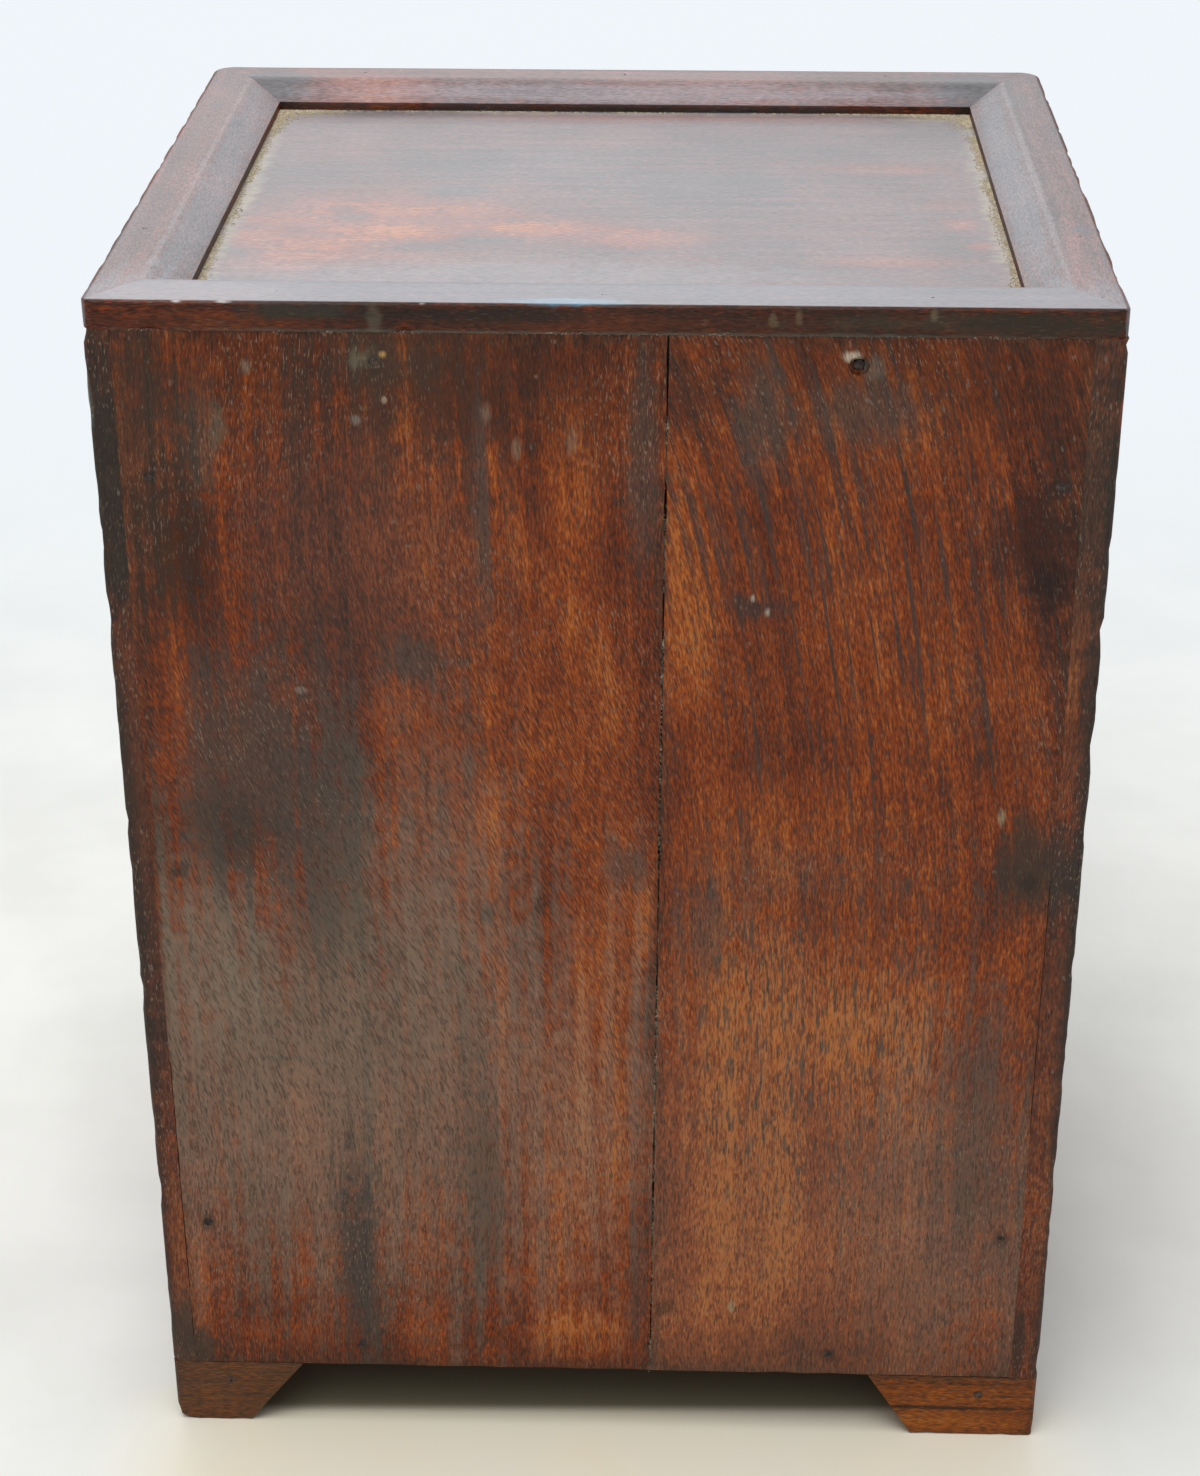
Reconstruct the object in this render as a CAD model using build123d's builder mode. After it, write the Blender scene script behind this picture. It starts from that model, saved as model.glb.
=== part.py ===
"""A small tabletop chest of three drawers, nailed together from old rosewood boards.

The drawers open towards -Y and the boarded back faces +Y. Left and right are as seen from the front.
The origin is on the floor, in the middle of the box that holds the case and its knobs.
"""
import os

from build123d import *

os.makedirs("parts", exist_ok=True)

# Case of boards, in millimetres
case_width = 204.0
case_depth = 178.0
side_height = 256.5
side_thickness = 14.0
board_thickness = 12.0
divider_thickness = 8.0
housing_depth = 5.0
back_thickness = 8.0
left_rebate_lip = 6.7
right_rebate_lip = 5.4
back_seam_top_x = -12.8
back_seam_bottom_x = -10.9
back_seam_gap = 0.8
back_edge_gap = 0.4
edge_round = 1.2

# Moulded frame round the top
rail_thickness = 6.0
rail_width = 18.0
back_rail_width = 24.0
rail_flat = 10.0
rail_lip = 2.0
rail_round = 0.8
front_corner_round = 5.0
back_corner_round = 2.5

# Bracket feet: the left pair is longer than the right pair
foot_height = 17.5
foot_thickness = 12.0
left_foot_length = 40.0
left_foot_toe = 29.0
right_foot_length = 31.0
right_foot_toe = 17.5
return_thickness = 20.0
return_length = 30.0
return_toe = 19.0

# Drawers
drawer_names = ("lower", "middle", "upper")
drawer_side_gap = 0.6
drawer_top_gap = 1.0
drawer_stop_gap = 0.4
drawer_front_thickness = 12.0
drawer_front_round = 0.8
drawer_side_thickness = 7.0
drawer_back_thickness = 7.0
drawer_back_inset = 6.0
drawer_back_drop = 6.0
drawer_back_housing = 2.5
drawer_bottom_thickness = 4.0
bottom_groove_height = 5.0
bottom_groove_depth = 3.0

# Half-blind dovetails at the drawers' front corners
tail_count = 3
tail_length = 8.0
tail_spacing = 6.0
tail_slope = 1 / 6

# Turned brass knobs and their nuts
knob_projection = 17.0
knob_radius = 8.5
knob_head = 5.0
knob_chamfer = 1.5
knob_neck_radius = 3.8
knob_base_radius = 7.0
knob_base_thickness = 1.6
shank_radius = 2.0
shank_fit = 0.1
shank_end = 1.0
nut_width = 9.0
nut_thickness = 3.0
nut_chamfer = 0.8

# Forged iron nails of the case, and thin pins of the mouldings and drawer bottoms
nail_length = 22.0
nail_width = 1.8
nail_head_radius = 2.0
nail_head_thickness = 0.8
pin_length = 12.0
pin_width = 1.2
pin_head_radius = 1.2
pin_head_thickness = 0.5
head_sides = 8
nail_sink = 0.3
nail_fit = 0.05

# Where the nails and pins are driven
back_nail_inset = 11.0
back_nail_from_bottom = 41.0
back_nail_from_top = 31.0
back_nail_above_middle = 6.0
top_nail_spots = (-45.0, 50.0)
bottom_nail_spots = (-57.0, 52.5)
side_nail_inset = 22.0
rail_pin_spacing = 64.0
rail_pin_inset = 46.0
foot_nail_inset = 13.7
foot_nail_height = 12.2
return_nail_setback = 15.0
return_nail_inset = 15.0
bottom_pin_offset = 45.0

# Places worked out from the sizes
half_width = case_width / 2
inner_half = half_width - side_thickness
front_y = (knob_projection - case_depth) / 2
back_y = front_y + case_depth
middle_y = (front_y + back_y) / 2
shoulder_y = back_y - back_thickness
case_bottom = foot_height
case_top = case_bottom + side_height
case_middle = (case_bottom + case_top) / 2

housed_half = inner_half + housing_depth
housed_depth = shoulder_y - front_y
housed_middle_y = (front_y + shoulder_y) / 2

cells = len(drawer_names)
dividers = cells - 1
cell_height = (side_height - 2 * board_thickness - dividers * divider_thickness) / cells
cell_pitch = cell_height + divider_thickness
first_floor = case_bottom + board_thickness
divider_floors = [first_floor + cell_height + step * cell_pitch for step in range(dividers)]

drawer_half = inner_half - drawer_side_gap
drawer_height = cell_height - drawer_top_gap
front_inner_y = front_y + drawer_front_thickness
drawer_rear_y = shoulder_y - drawer_stop_gap
drawer_back_y = drawer_rear_y - drawer_back_inset
groove_half = drawer_half - drawer_side_thickness + bottom_groove_depth
groove_front_y = front_inner_y - bottom_groove_depth

# Faces that nails are driven into, each with its normal pointing out of the wood
back_face = Plane(origin=(0, back_y, 0), x_dir=(-1, 0, 0), z_dir=(0, 1, 0))
front_face = Plane(origin=(0, front_y, 0), x_dir=(1, 0, 0), z_dir=(0, -1, 0))
right_face = Plane(origin=(half_width, 0, 0), x_dir=(0, 1, 0), z_dir=(1, 0, 0))
left_face = Plane(origin=(-half_width, 0, 0), x_dir=(0, -1, 0), z_dir=(-1, 0, 0))
top_face = Plane.XY.offset(case_top + rail_thickness)
floor_face = Plane(origin=(0, 0, 0), x_dir=(1, 0, 0), z_dir=(0, 0, -1))

nail_sizes = (nail_width, nail_head_radius, nail_head_thickness, nail_length)
pin_sizes = (pin_width, pin_head_radius, pin_head_thickness, pin_length)


def save(piece, name):
    """Labels a finished piece and writes it as one STEP file."""
    piece.part.label = name
    export_step(piece.part, f"parts/{name}.step")


def forged(sizes, room, head_top):
    """A square nail pointing down from the origin, with room all round it and its head up to head_top."""
    width, head_radius, head_thickness, length = sizes
    seat = -nail_sink - head_thickness
    with BuildPart() as made:
        with BuildSketch(Plane.XY.offset(seat)):
            RegularPolygon(head_radius + room, head_sides)
        extrude(amount=head_top - seat)
        with BuildSketch(Plane.XY.offset(seat)):
            Rectangle(width + 2 * room, width + 2 * room)
        extrude(amount=head_thickness - length - room)
    return made.part


def drill(face, spots, sizes):
    """Cuts the hole of a sunk nail, with the seat of its head, at each spot of a face."""
    hole = forged(sizes, room=nail_fit, head_top=0)
    with Locations(face):
        with Locations(*spots):
            add(hole, mode=Mode.SUBTRACT)


def drive(face, spots, sizes):
    """Puts a nail at each spot of a face."""
    nail = forged(sizes, room=0, head_top=-nail_sink)
    with Locations(face):
        with Locations(*spots):
            add(nail)


# Spots of the nails on their faces
back_column = half_width - back_nail_inset
back_heights = (
    case_bottom + back_nail_from_bottom,
    case_middle + back_nail_above_middle,
    case_top - back_nail_from_top,
)
column_spots = [(side * back_column, height) for side in (-1, 1) for height in back_heights]
top_line = case_top - board_thickness / 2
bottom_line = case_bottom + board_thickness / 2
top_back_spots = [(across, top_line) for across in top_nail_spots]
bottom_back_spots = [(across, bottom_line) for across in bottom_nail_spots]

side_nail_ys = (front_y + side_nail_inset, housed_middle_y, shoulder_y - side_nail_inset)
top_side_spots = [(y, top_line) for y in side_nail_ys]
bottom_side_spots = [(y, bottom_line) for y in side_nail_ys]
mirrored_top_spots = [(-y, top_line) for y in side_nail_ys]
mirrored_bottom_spots = [(-y, bottom_line) for y in side_nail_ys]

back_rail_flat = rail_flat * back_rail_width / rail_width
front_pin_spots = [(x, front_y + rail_flat / 2) for x in (-rail_pin_spacing, 0, rail_pin_spacing)]
back_pin_spots = [(x, back_y - back_rail_flat / 2) for x in (-rail_pin_spacing, 0, rail_pin_spacing)]
side_pin_x = half_width - rail_flat / 2
side_pin_ys = (front_y + rail_pin_inset, back_y - rail_pin_inset)

# The foot's long nail goes through the bracket into its return, the other up into the bottom board
bracket_spots = [(side * (half_width - foot_nail_inset), foot_nail_height) for side in (-1, 1)]
return_nail_x = half_width - return_nail_inset
return_nail_ys = (
    front_y + foot_thickness + return_nail_setback,
    back_y - foot_thickness - return_nail_setback,
)
return_spots = [(side * return_nail_x, -y) for side in (-1, 1) for y in return_nail_ys]

# Side panels: rebated for the back and housed for the boards between them
side_panels = {
    "left": (-1, left_rebate_lip, left_face, mirrored_top_spots + mirrored_bottom_spots),
    "right": (1, right_rebate_lip, right_face, top_side_spots + bottom_side_spots),
}
for name, (side, lip, outer_face, nail_spots) in side_panels.items():
    lip_x = side * (half_width - lip)
    inner_x = side * inner_half
    with BuildPart() as side_panel:
        with BuildSketch(Plane.XY.offset(case_bottom)):
            with BuildLine():
                Polyline(
                    (inner_x, front_y),
                    (side * half_width, front_y),
                    (side * half_width, back_y),
                    (lip_x, back_y),
                    (lip_x, shoulder_y),
                    (inner_x, shoulder_y),
                    close=True,
                )
            make_face()
        extrude(amount=side_height)
        outer_edges = side_panel.edges().filter_by(Axis.Z).sort_by(lambda edge: edge.center().X * side)[-2:]
        fillet(outer_edges, edge_round)
        with BuildSketch(Plane.YZ.offset(inner_x)):
            for board_line in (top_line, bottom_line):
                with Locations((housed_middle_y, board_line)):
                    Rectangle(housed_depth, board_thickness)
            for divider_floor in divider_floors:
                with Locations((housed_middle_y, divider_floor + divider_thickness / 2)):
                    Rectangle(housed_depth, divider_thickness)
        extrude(amount=side * housing_depth, mode=Mode.SUBTRACT)
        drill(outer_face, nail_spots, nail_sizes)
        drill(back_face, column_spots, nail_sizes)
        drill(top_face, [(side * side_pin_x, y) for y in side_pin_ys], pin_sizes)
    save(side_panel, f"side_panel_{name}")

# Bottom board, flush with the lower ends of the sides
with BuildPart() as bottom_board:
    with BuildSketch(Plane.XY.offset(case_bottom)):
        with Locations((0, housed_middle_y)):
            Rectangle(2 * housed_half, housed_depth)
    extrude(amount=board_thickness)
    drill(right_face, bottom_side_spots, nail_sizes)
    drill(left_face, mirrored_bottom_spots, nail_sizes)
    drill(back_face, bottom_back_spots, nail_sizes)
    drill(floor_face, return_spots, nail_sizes)
save(bottom_board, "bottom_board")

# Top board, whose middle shows as the sunk panel inside the moulded frame
with BuildPart() as top_board:
    with BuildSketch(Plane.XY.offset(case_top - board_thickness)):
        with Locations((0, housed_middle_y)):
            Rectangle(2 * housed_half, housed_depth)
    extrude(amount=board_thickness)
    drill(right_face, top_side_spots, nail_sizes)
    drill(left_face, mirrored_top_spots, nail_sizes)
    drill(back_face, top_back_spots, nail_sizes)
    drill(top_face, front_pin_spots, pin_sizes)
save(top_board, "top_board")

# Dividers between the drawers, slid into their housings
for number, divider_floor in enumerate(divider_floors, start=1):
    with BuildPart() as divider:
        with BuildSketch(Plane.XY.offset(divider_floor)):
            with Locations((0, housed_middle_y)):
                Rectangle(2 * housed_half, housed_depth)
        extrude(amount=divider_thickness)
    save(divider, f"divider_{number}")

# Two upright back boards, shrunk apart at their leaning joint
half_seam = back_seam_gap / 2
left_edge_x = left_rebate_lip + back_edge_gap - half_width
right_edge_x = half_width - right_rebate_lip - back_edge_gap
back_outlines = {
    "left": (left_edge_x, back_seam_top_x - half_seam, back_seam_bottom_x - half_seam),
    "right": (right_edge_x, back_seam_top_x + half_seam, back_seam_bottom_x + half_seam),
}
for name, (edge_x, seam_top, seam_bottom) in back_outlines.items():
    with BuildPart() as back_board:
        with BuildSketch(Plane.XZ.offset(-back_y)):
            with BuildLine():
                Polyline(
                    (edge_x, case_bottom),
                    (edge_x, case_top),
                    (seam_top, case_top),
                    (seam_bottom, case_bottom),
                    close=True,
                )
            make_face()
        extrude(amount=back_thickness)
        drill(back_face, column_spots + top_back_spots + bottom_back_spots, nail_sizes)
        drill(top_face, back_pin_spots, pin_sizes)
    save(back_board, f"back_board_{name}")

# Moulded frame as one ring, which the mitres then cut into four rails
opening_half = half_width - rail_width
opening_front = front_y + rail_width
opening_back = back_y - back_rail_width
ridge_half = half_width - rail_flat
ridge_front = front_y + rail_flat
ridge_back = back_y - back_rail_flat
with BuildPart() as tray_frame:
    with BuildSketch(Plane.XY.offset(case_top)) as plan:
        with Locations((0, middle_y)):
            Rectangle(case_width, case_depth)
        fillet(plan.vertices().group_by(Axis.Y)[0], front_corner_round)
        fillet(plan.vertices().group_by(Axis.Y)[-1], back_corner_round)
        with Locations((0, (opening_front + opening_back) / 2)):
            Rectangle(2 * opening_half, opening_back - opening_front, mode=Mode.SUBTRACT)
    extrude(amount=rail_thickness)
    with BuildSketch(Plane.XY.offset(case_top + rail_lip)):
        with Locations((0, (opening_front + opening_back) / 2)):
            Rectangle(2 * opening_half, opening_back - opening_front)
    with BuildSketch(Plane.XY.offset(case_top + rail_thickness)):
        with Locations((0, (ridge_front + ridge_back) / 2)):
            Rectangle(2 * ridge_half, ridge_back - ridge_front)
    loft(ruled=True, mode=Mode.SUBTRACT)
    fillet(tray_frame.faces().sort_by(Axis.Z)[-1].outer_wire().edges(), rail_round)

outer_corners = {
    "front_left": (-half_width, front_y),
    "front_right": (half_width, front_y),
    "back_left": (-half_width, back_y),
    "back_right": (half_width, back_y),
}
inner_corners = {
    "front_left": (-opening_half, opening_front),
    "front_right": (opening_half, opening_front),
    "back_left": (-opening_half, opening_back),
    "back_right": (opening_half, opening_back),
}
rails = {
    "front": ("front_left", "front_right", front_pin_spots),
    "back": ("back_left", "back_right", back_pin_spots),
    "left": ("front_left", "back_left", [(-side_pin_x, y) for y in side_pin_ys]),
    "right": ("front_right", "back_right", [(side_pin_x, y) for y in side_pin_ys]),
}
for name, (start, end, pin_spots) in rails.items():
    with BuildPart() as rail:
        add(tray_frame.part)
        with BuildSketch(Plane.XY.offset(case_top)):
            with BuildLine():
                Polyline(
                    outer_corners[start],
                    outer_corners[end],
                    inner_corners[end],
                    inner_corners[start],
                    close=True,
                )
            make_face()
        extrude(amount=rail_thickness, mode=Mode.INTERSECT)
        drill(top_face, pin_spots, pin_sizes)
    save(rail, f"top_rail_{name}")

# Bracket feet: a slant-ended bracket on the front or back, and a return behind it along the side
foot_sides = {"left": (-1, left_foot_length, left_foot_toe), "right": (1, right_foot_length, right_foot_toe)}
foot_ends = {"front": (-1, front_y, front_face), "back": (1, back_y, back_face)}
for side_name, (side, length, toe) in foot_sides.items():
    for end_name, (end, face_y, nail_face) in foot_ends.items():
        with BuildPart() as bracket:
            with BuildSketch(Plane.XZ.offset(-face_y)):
                with BuildLine():
                    Polyline(
                        (side * half_width, 0),
                        (side * (half_width - toe), 0),
                        (side * (half_width - length), foot_height),
                        (side * half_width, foot_height),
                        close=True,
                    )
                make_face()
            extrude(amount=end * foot_thickness)
            outer_edge = bracket.edges().filter_by(Axis.Z).sort_by(lambda edge: edge.center().Y * end)[-1]
            fillet(outer_edge, edge_round)
            drill(nail_face, bracket_spots, nail_sizes)
        save(bracket, f"foot_bracket_{end_name}_{side_name}")

        seat_y = face_y - end * foot_thickness
        with BuildPart() as foot_return:
            with BuildSketch(Plane.YZ.offset(side * half_width)):
                with BuildLine():
                    Polyline(
                        (seat_y, 0),
                        (seat_y - end * return_toe, 0),
                        (seat_y - end * return_length, foot_height),
                        (seat_y, foot_height),
                        close=True,
                    )
                make_face()
            extrude(amount=-side * return_thickness)
            drill(nail_face, bracket_spots, nail_sizes)
            drill(floor_face, return_spots, nail_sizes)
        save(foot_return, f"foot_return_{end_name}_{side_name}")

# Nails and pins of the case
with BuildPart() as back_nails:
    drive(back_face, column_spots + top_back_spots + bottom_back_spots, nail_sizes)
save(back_nails, "back_nails")

with BuildPart() as side_nails:
    drive(right_face, top_side_spots + bottom_side_spots, nail_sizes)
    drive(left_face, mirrored_top_spots + mirrored_bottom_spots, nail_sizes)
save(side_nails, "side_nails")

with BuildPart() as foot_nails:
    drive(front_face, bracket_spots, nail_sizes)
    drive(back_face, bracket_spots, nail_sizes)
    drive(floor_face, return_spots, nail_sizes)
save(foot_nails, "foot_nails")

with BuildPart() as rail_pins:
    for start, end, pin_spots in rails.values():
        drive(top_face, pin_spots, pin_sizes)
save(rail_pins, "rail_pins")


def tails(side, floor):
    """The dovetails of one drawer side, drawn on its outer face: narrow at the shoulder, wide at the tip."""
    pitch = drawer_height / tail_count
    tip_half = (pitch - tail_spacing) / 2
    root_half = tip_half - tail_length * tail_slope
    tip_y = front_inner_y - tail_length
    with BuildSketch(Plane.YZ.offset(side * drawer_half)) as drawn:
        for number in range(tail_count):
            middle = floor + (number + 0.5) * pitch
            with BuildLine():
                Polyline(
                    (front_inner_y, middle - root_half),
                    (tip_y, middle - tip_half),
                    (tip_y, middle + tip_half),
                    (front_inner_y, middle + root_half),
                    close=True,
                )
            make_face()
    return drawn.sketch


# Drawers: each has a dovetailed front, two sides, a housed back, a grooved bottom and a brass knob
for number, name in enumerate(drawer_names):
    floor = first_floor + number * cell_pitch
    middle = floor + drawer_height / 2
    bottom_underside = floor + bottom_groove_height
    bottom_top = bottom_underside + drawer_bottom_thickness
    bottom_face = Plane(origin=(0, 0, bottom_underside), x_dir=(1, 0, 0), z_dir=(0, 0, -1))
    pin_line = drawer_back_thickness / 2 - drawer_back_y
    bottom_pin_spots = [(side * bottom_pin_offset, pin_line) for side in (-1, 1)]

    with BuildPart() as drawer_bottom:
        with BuildSketch(Plane.XY.offset(bottom_underside)):
            with Locations((0, (groove_front_y + drawer_rear_y) / 2)):
                Rectangle(2 * groove_half, drawer_rear_y - groove_front_y)
        extrude(amount=drawer_bottom_thickness)
        drill(bottom_face, bottom_pin_spots, pin_sizes)
    save(drawer_bottom, f"drawer_{name}_bottom")

    with BuildPart() as drawer_back:
        with BuildSketch(Plane.XY.offset(bottom_top)):
            with Locations((0, drawer_back_y - drawer_back_thickness / 2)):
                Rectangle(
                    2 * (drawer_half - drawer_side_thickness + drawer_back_housing), drawer_back_thickness
                )
        extrude(amount=floor + drawer_height - drawer_back_drop - bottom_top)
        drill(bottom_face, bottom_pin_spots, pin_sizes)
    save(drawer_back, f"drawer_{name}_back")

    with BuildPart() as drawer_front:
        with BuildSketch(Plane.XZ.offset(-front_inner_y)):
            with Locations((0, middle)):
                Rectangle(2 * drawer_half, drawer_height)
        extrude(amount=drawer_front_thickness)
        fillet(drawer_front.faces().sort_by(Axis.Y)[0].edges(), drawer_front_round)
        for side in (-1, 1):
            extrude(tails(side, floor), amount=-side * drawer_side_thickness, mode=Mode.SUBTRACT)
        add(drawer_bottom.part, mode=Mode.SUBTRACT)
        with Locations(front_face):
            with Locations((0, middle)):
                Hole(shank_radius + shank_fit)
    save(drawer_front, f"drawer_{name}_front")

    for side, side_name in ((-1, "left"), (1, "right")):
        with BuildPart() as drawer_side:
            with BuildSketch(Plane.YZ.offset(side * drawer_half)):
                with Locations(((front_inner_y + drawer_rear_y) / 2, middle)):
                    Rectangle(drawer_rear_y - front_inner_y, drawer_height)
            extrude(amount=-side * drawer_side_thickness)
            extrude(tails(side, floor), amount=-side * drawer_side_thickness)
            add(drawer_bottom.part, mode=Mode.SUBTRACT)
            add(drawer_back.part, mode=Mode.SUBTRACT)
        save(drawer_side, f"drawer_{name}_side_{side_name}")

    with BuildPart() as bottom_pins:
        drive(bottom_face, bottom_pin_spots, pin_sizes)
    save(bottom_pins, f"drawer_{name}_pins")

    # The knob's head, neck and base are turned with its shank in one piece
    tip_y = front_y - knob_projection
    base_y = front_y - knob_base_thickness
    shank_end_y = front_inner_y + nut_thickness + shank_end
    with BuildPart() as knob:
        with BuildSketch(Plane.XY.offset(middle)):
            with BuildLine():
                Polyline(
                    (0, tip_y),
                    (knob_radius - knob_chamfer, tip_y),
                    (knob_radius, tip_y + knob_chamfer),
                    (knob_radius, tip_y + knob_head),
                    (knob_neck_radius, tip_y + knob_head),
                    (knob_neck_radius, base_y),
                    (knob_base_radius, base_y),
                    (knob_base_radius, front_y),
                    (shank_radius, front_y),
                    (shank_radius, shank_end_y),
                    (0, shank_end_y),
                    close=True,
                )
            make_face()
        revolve(axis=Axis((0, 0, middle), (0, 1, 0)))
    save(knob, f"drawer_{name}_knob")

    with BuildPart() as knob_nut:
        with BuildSketch(Plane.XZ.offset(-front_inner_y)):
            with Locations((0, middle)):
                nut_outline = Rectangle(nut_width, nut_width)
                chamfer(nut_outline.vertices(), nut_chamfer)
                Circle(shank_radius + shank_fit, mode=Mode.SUBTRACT)
        extrude(amount=-nut_thickness)
    save(knob_nut, f"drawer_{name}_knob_nut")
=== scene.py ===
import math

import bmesh
import bpy
from mathutils import Matrix, Vector, noise


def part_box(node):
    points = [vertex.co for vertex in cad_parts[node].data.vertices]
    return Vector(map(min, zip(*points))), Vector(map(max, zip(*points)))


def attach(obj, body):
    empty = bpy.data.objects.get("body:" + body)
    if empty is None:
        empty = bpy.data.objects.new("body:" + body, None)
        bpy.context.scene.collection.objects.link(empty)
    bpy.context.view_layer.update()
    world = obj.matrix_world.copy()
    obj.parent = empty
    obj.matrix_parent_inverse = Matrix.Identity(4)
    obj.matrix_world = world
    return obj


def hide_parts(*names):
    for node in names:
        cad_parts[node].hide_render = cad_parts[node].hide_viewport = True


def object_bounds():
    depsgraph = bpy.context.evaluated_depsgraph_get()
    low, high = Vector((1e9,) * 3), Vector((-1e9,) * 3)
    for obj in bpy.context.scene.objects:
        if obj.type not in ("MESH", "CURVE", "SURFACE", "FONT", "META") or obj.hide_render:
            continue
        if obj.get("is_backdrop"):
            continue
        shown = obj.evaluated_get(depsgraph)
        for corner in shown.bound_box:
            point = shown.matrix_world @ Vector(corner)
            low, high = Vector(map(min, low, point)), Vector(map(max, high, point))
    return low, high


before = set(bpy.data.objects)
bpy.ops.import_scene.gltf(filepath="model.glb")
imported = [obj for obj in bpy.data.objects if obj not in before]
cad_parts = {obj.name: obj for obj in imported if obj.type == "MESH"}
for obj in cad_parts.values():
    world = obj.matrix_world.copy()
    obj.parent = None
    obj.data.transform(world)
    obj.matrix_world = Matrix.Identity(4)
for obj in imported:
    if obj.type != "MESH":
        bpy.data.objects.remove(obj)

cad_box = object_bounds()

# Side panels: two upright boards of old rosewood, rebated behind for the back and housed for the shelves.
# Their outer corners are rounded by handling, blackened by hands and chipped along the rear edges.
half_width, front_face, back_face = 102, -80.5, 97.5
case_foot, case_top, rail_top = 17.5, 274, 280


class Wire:
    """One socket of a node tree. Arithmetic on it adds Math nodes to that tree."""

    def __init__(self, socket):
        self.socket = socket
        self.tree = socket.id_data

    def make(self, kind, inputs, out=0, **settings):
        """Adds any node: its settings first, then the values and links of its sockets."""
        node = self.tree.nodes.new(kind)
        for name, value in settings.items():
            if name == "stops":
                stops = node.color_ramp.elements
                for place, colour in value[1:-1]:
                    stops.new(place).color = (*colour, 1)
                stops[0].position, stops[-1].position = value[0][0], value[-1][0]
                stops[0].color, stops[-1].color = (*value[0][1], 1), (*value[-1][1], 1)
            else:
                setattr(node, name, value)
        for name, value in inputs.items():
            for part in value if isinstance(value, list) else [value]:
                if isinstance(part, Wire):
                    self.tree.links.new(part.socket, node.inputs[name])
                else:
                    node.inputs[name].default_value = part
        if isinstance(out, tuple):
            return [Wire(node.outputs[one]) for one in out]
        return Wire(node.outputs[out])

    def math(self, operation, first, second):
        return self.make("ShaderNodeMath", {0: first, 1: second}, operation=operation)

    def __add__(self, other):
        return self.math("ADD", self, other)

    def __sub__(self, other):
        return self.math("SUBTRACT", self, other)

    def __rsub__(self, other):
        return self.math("SUBTRACT", other, self)

    def __mul__(self, other):
        return self.math("MULTIPLY", self, other)

    __radd__ = __add__
    __rmul__ = __mul__

    def least(self, other):
        return self.math("MINIMUM", self, other)

    def most(self, other):
        return self.math("MAXIMUM", self, other)

    def fade(self, start, end):
        """0 at start and beyond it, 1 at end, with a smooth step between."""
        limits = {"Value": self, "From Min": start, "From Max": end}
        return self.make("ShaderNodeMapRange", limits, interpolation_type="SMOOTHSTEP")

    def tinted(self, colour, share):
        """This colour with a share of another laid over it."""
        other = colour if isinstance(colour, Wire) else (*colour, 1)
        return self.make("ShaderNodeMix", {0: share, 6: self, 7: other}, out=2, data_type="RGBA")

    def stretched(self, scale, shift):
        """A place multiplied and shifted along x, y and z."""
        inputs = {0: self, 1: tuple(scale), 2: tuple(shift)}
        return self.make("ShaderNodeVectorMath", inputs, operation="MULTIPLY_ADD")

    def size(self):
        return self.math("ABSOLUTE", self, 0.0)

    def ramp(self, stops):
        return self.make("ShaderNodeValToRGB", {0: self}, stops=stops)

    def bump(self, strength, distance):
        return self.make("ShaderNodeBump", {"Strength": strength, "Distance": distance, "Height": self})

    def length(self):
        return self.make("ShaderNodeVectorMath", {0: self}, out="Value", operation="LENGTH")

    def moved(self, axis, step):
        """A place moved along one axis."""
        shift = step.make("ShaderNodeCombineXYZ", {axis: step})
        return self.make("ShaderNodeVectorMath", {0: self, 1: shift}, operation="ADD")

    def parts(self):
        return self.make("ShaderNodeSeparateXYZ", {0: self}, out=(0, 1, 2))

    def cloud(self, sizes, seed, detail=2.0):
        """Noise over a place, with its grains of these sizes in millimetres."""
        scale = [1 / size for size in sizes]
        place = self.stretched(scale, (seed, 1.7 * seed, -0.6 * seed))
        return self.make("ShaderNodeTexNoise", {"Vector": place, "Scale": 1.0, "Detail": detail})


def new_finish(name):
    """A material, the place on the piece in millimetres, and the material's shader."""
    material = bpy.data.materials.new(name)
    material.use_nodes = True
    tree = material.node_tree
    spot = Wire(tree.nodes.new("ShaderNodeTexCoord").outputs["Object"])
    return material, spot.stretched((1000, 1000, 1000), (0, 0, 0)), tree.nodes["Principled BSDF"]


def join(value, shader, name):
    value.tree.links.new(value.socket, shader.inputs[name])


def stain(place, mark, rough_edge):
    """1 in the middle of a soft stain at (x, y, z), 0 past its reach. A reach of None leaves that axis out."""
    centre, reach = mark
    scale = [1 / far if far else 0 for far in reach]
    shift = [-one * part for one, part in zip(centre, scale)]
    return (place.stretched(scale, shift).length() + rough_edge).fade(1.2, 0.3)


axis_of = {"X": 0, "Y": 1, "Z": 2}
rosewood_tones = (
    (0.00, (0.022, 0.012, 0.009)),
    (0.25, (0.066, 0.02, 0.011)),
    (0.5, (0.175, 0.037, 0.012)),
    (0.74, (0.3, 0.066, 0.015)),
    (1.00, (0.48, 0.15, 0.034)),
)
soot = (0.026, 0.022, 0.018)
smoke = (0.08, 0.063, 0.052)
tan_dust = (0.34, 0.27, 0.16)
haze_and_sheen_colour = (0.45, 0.475, 0.53)


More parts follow.
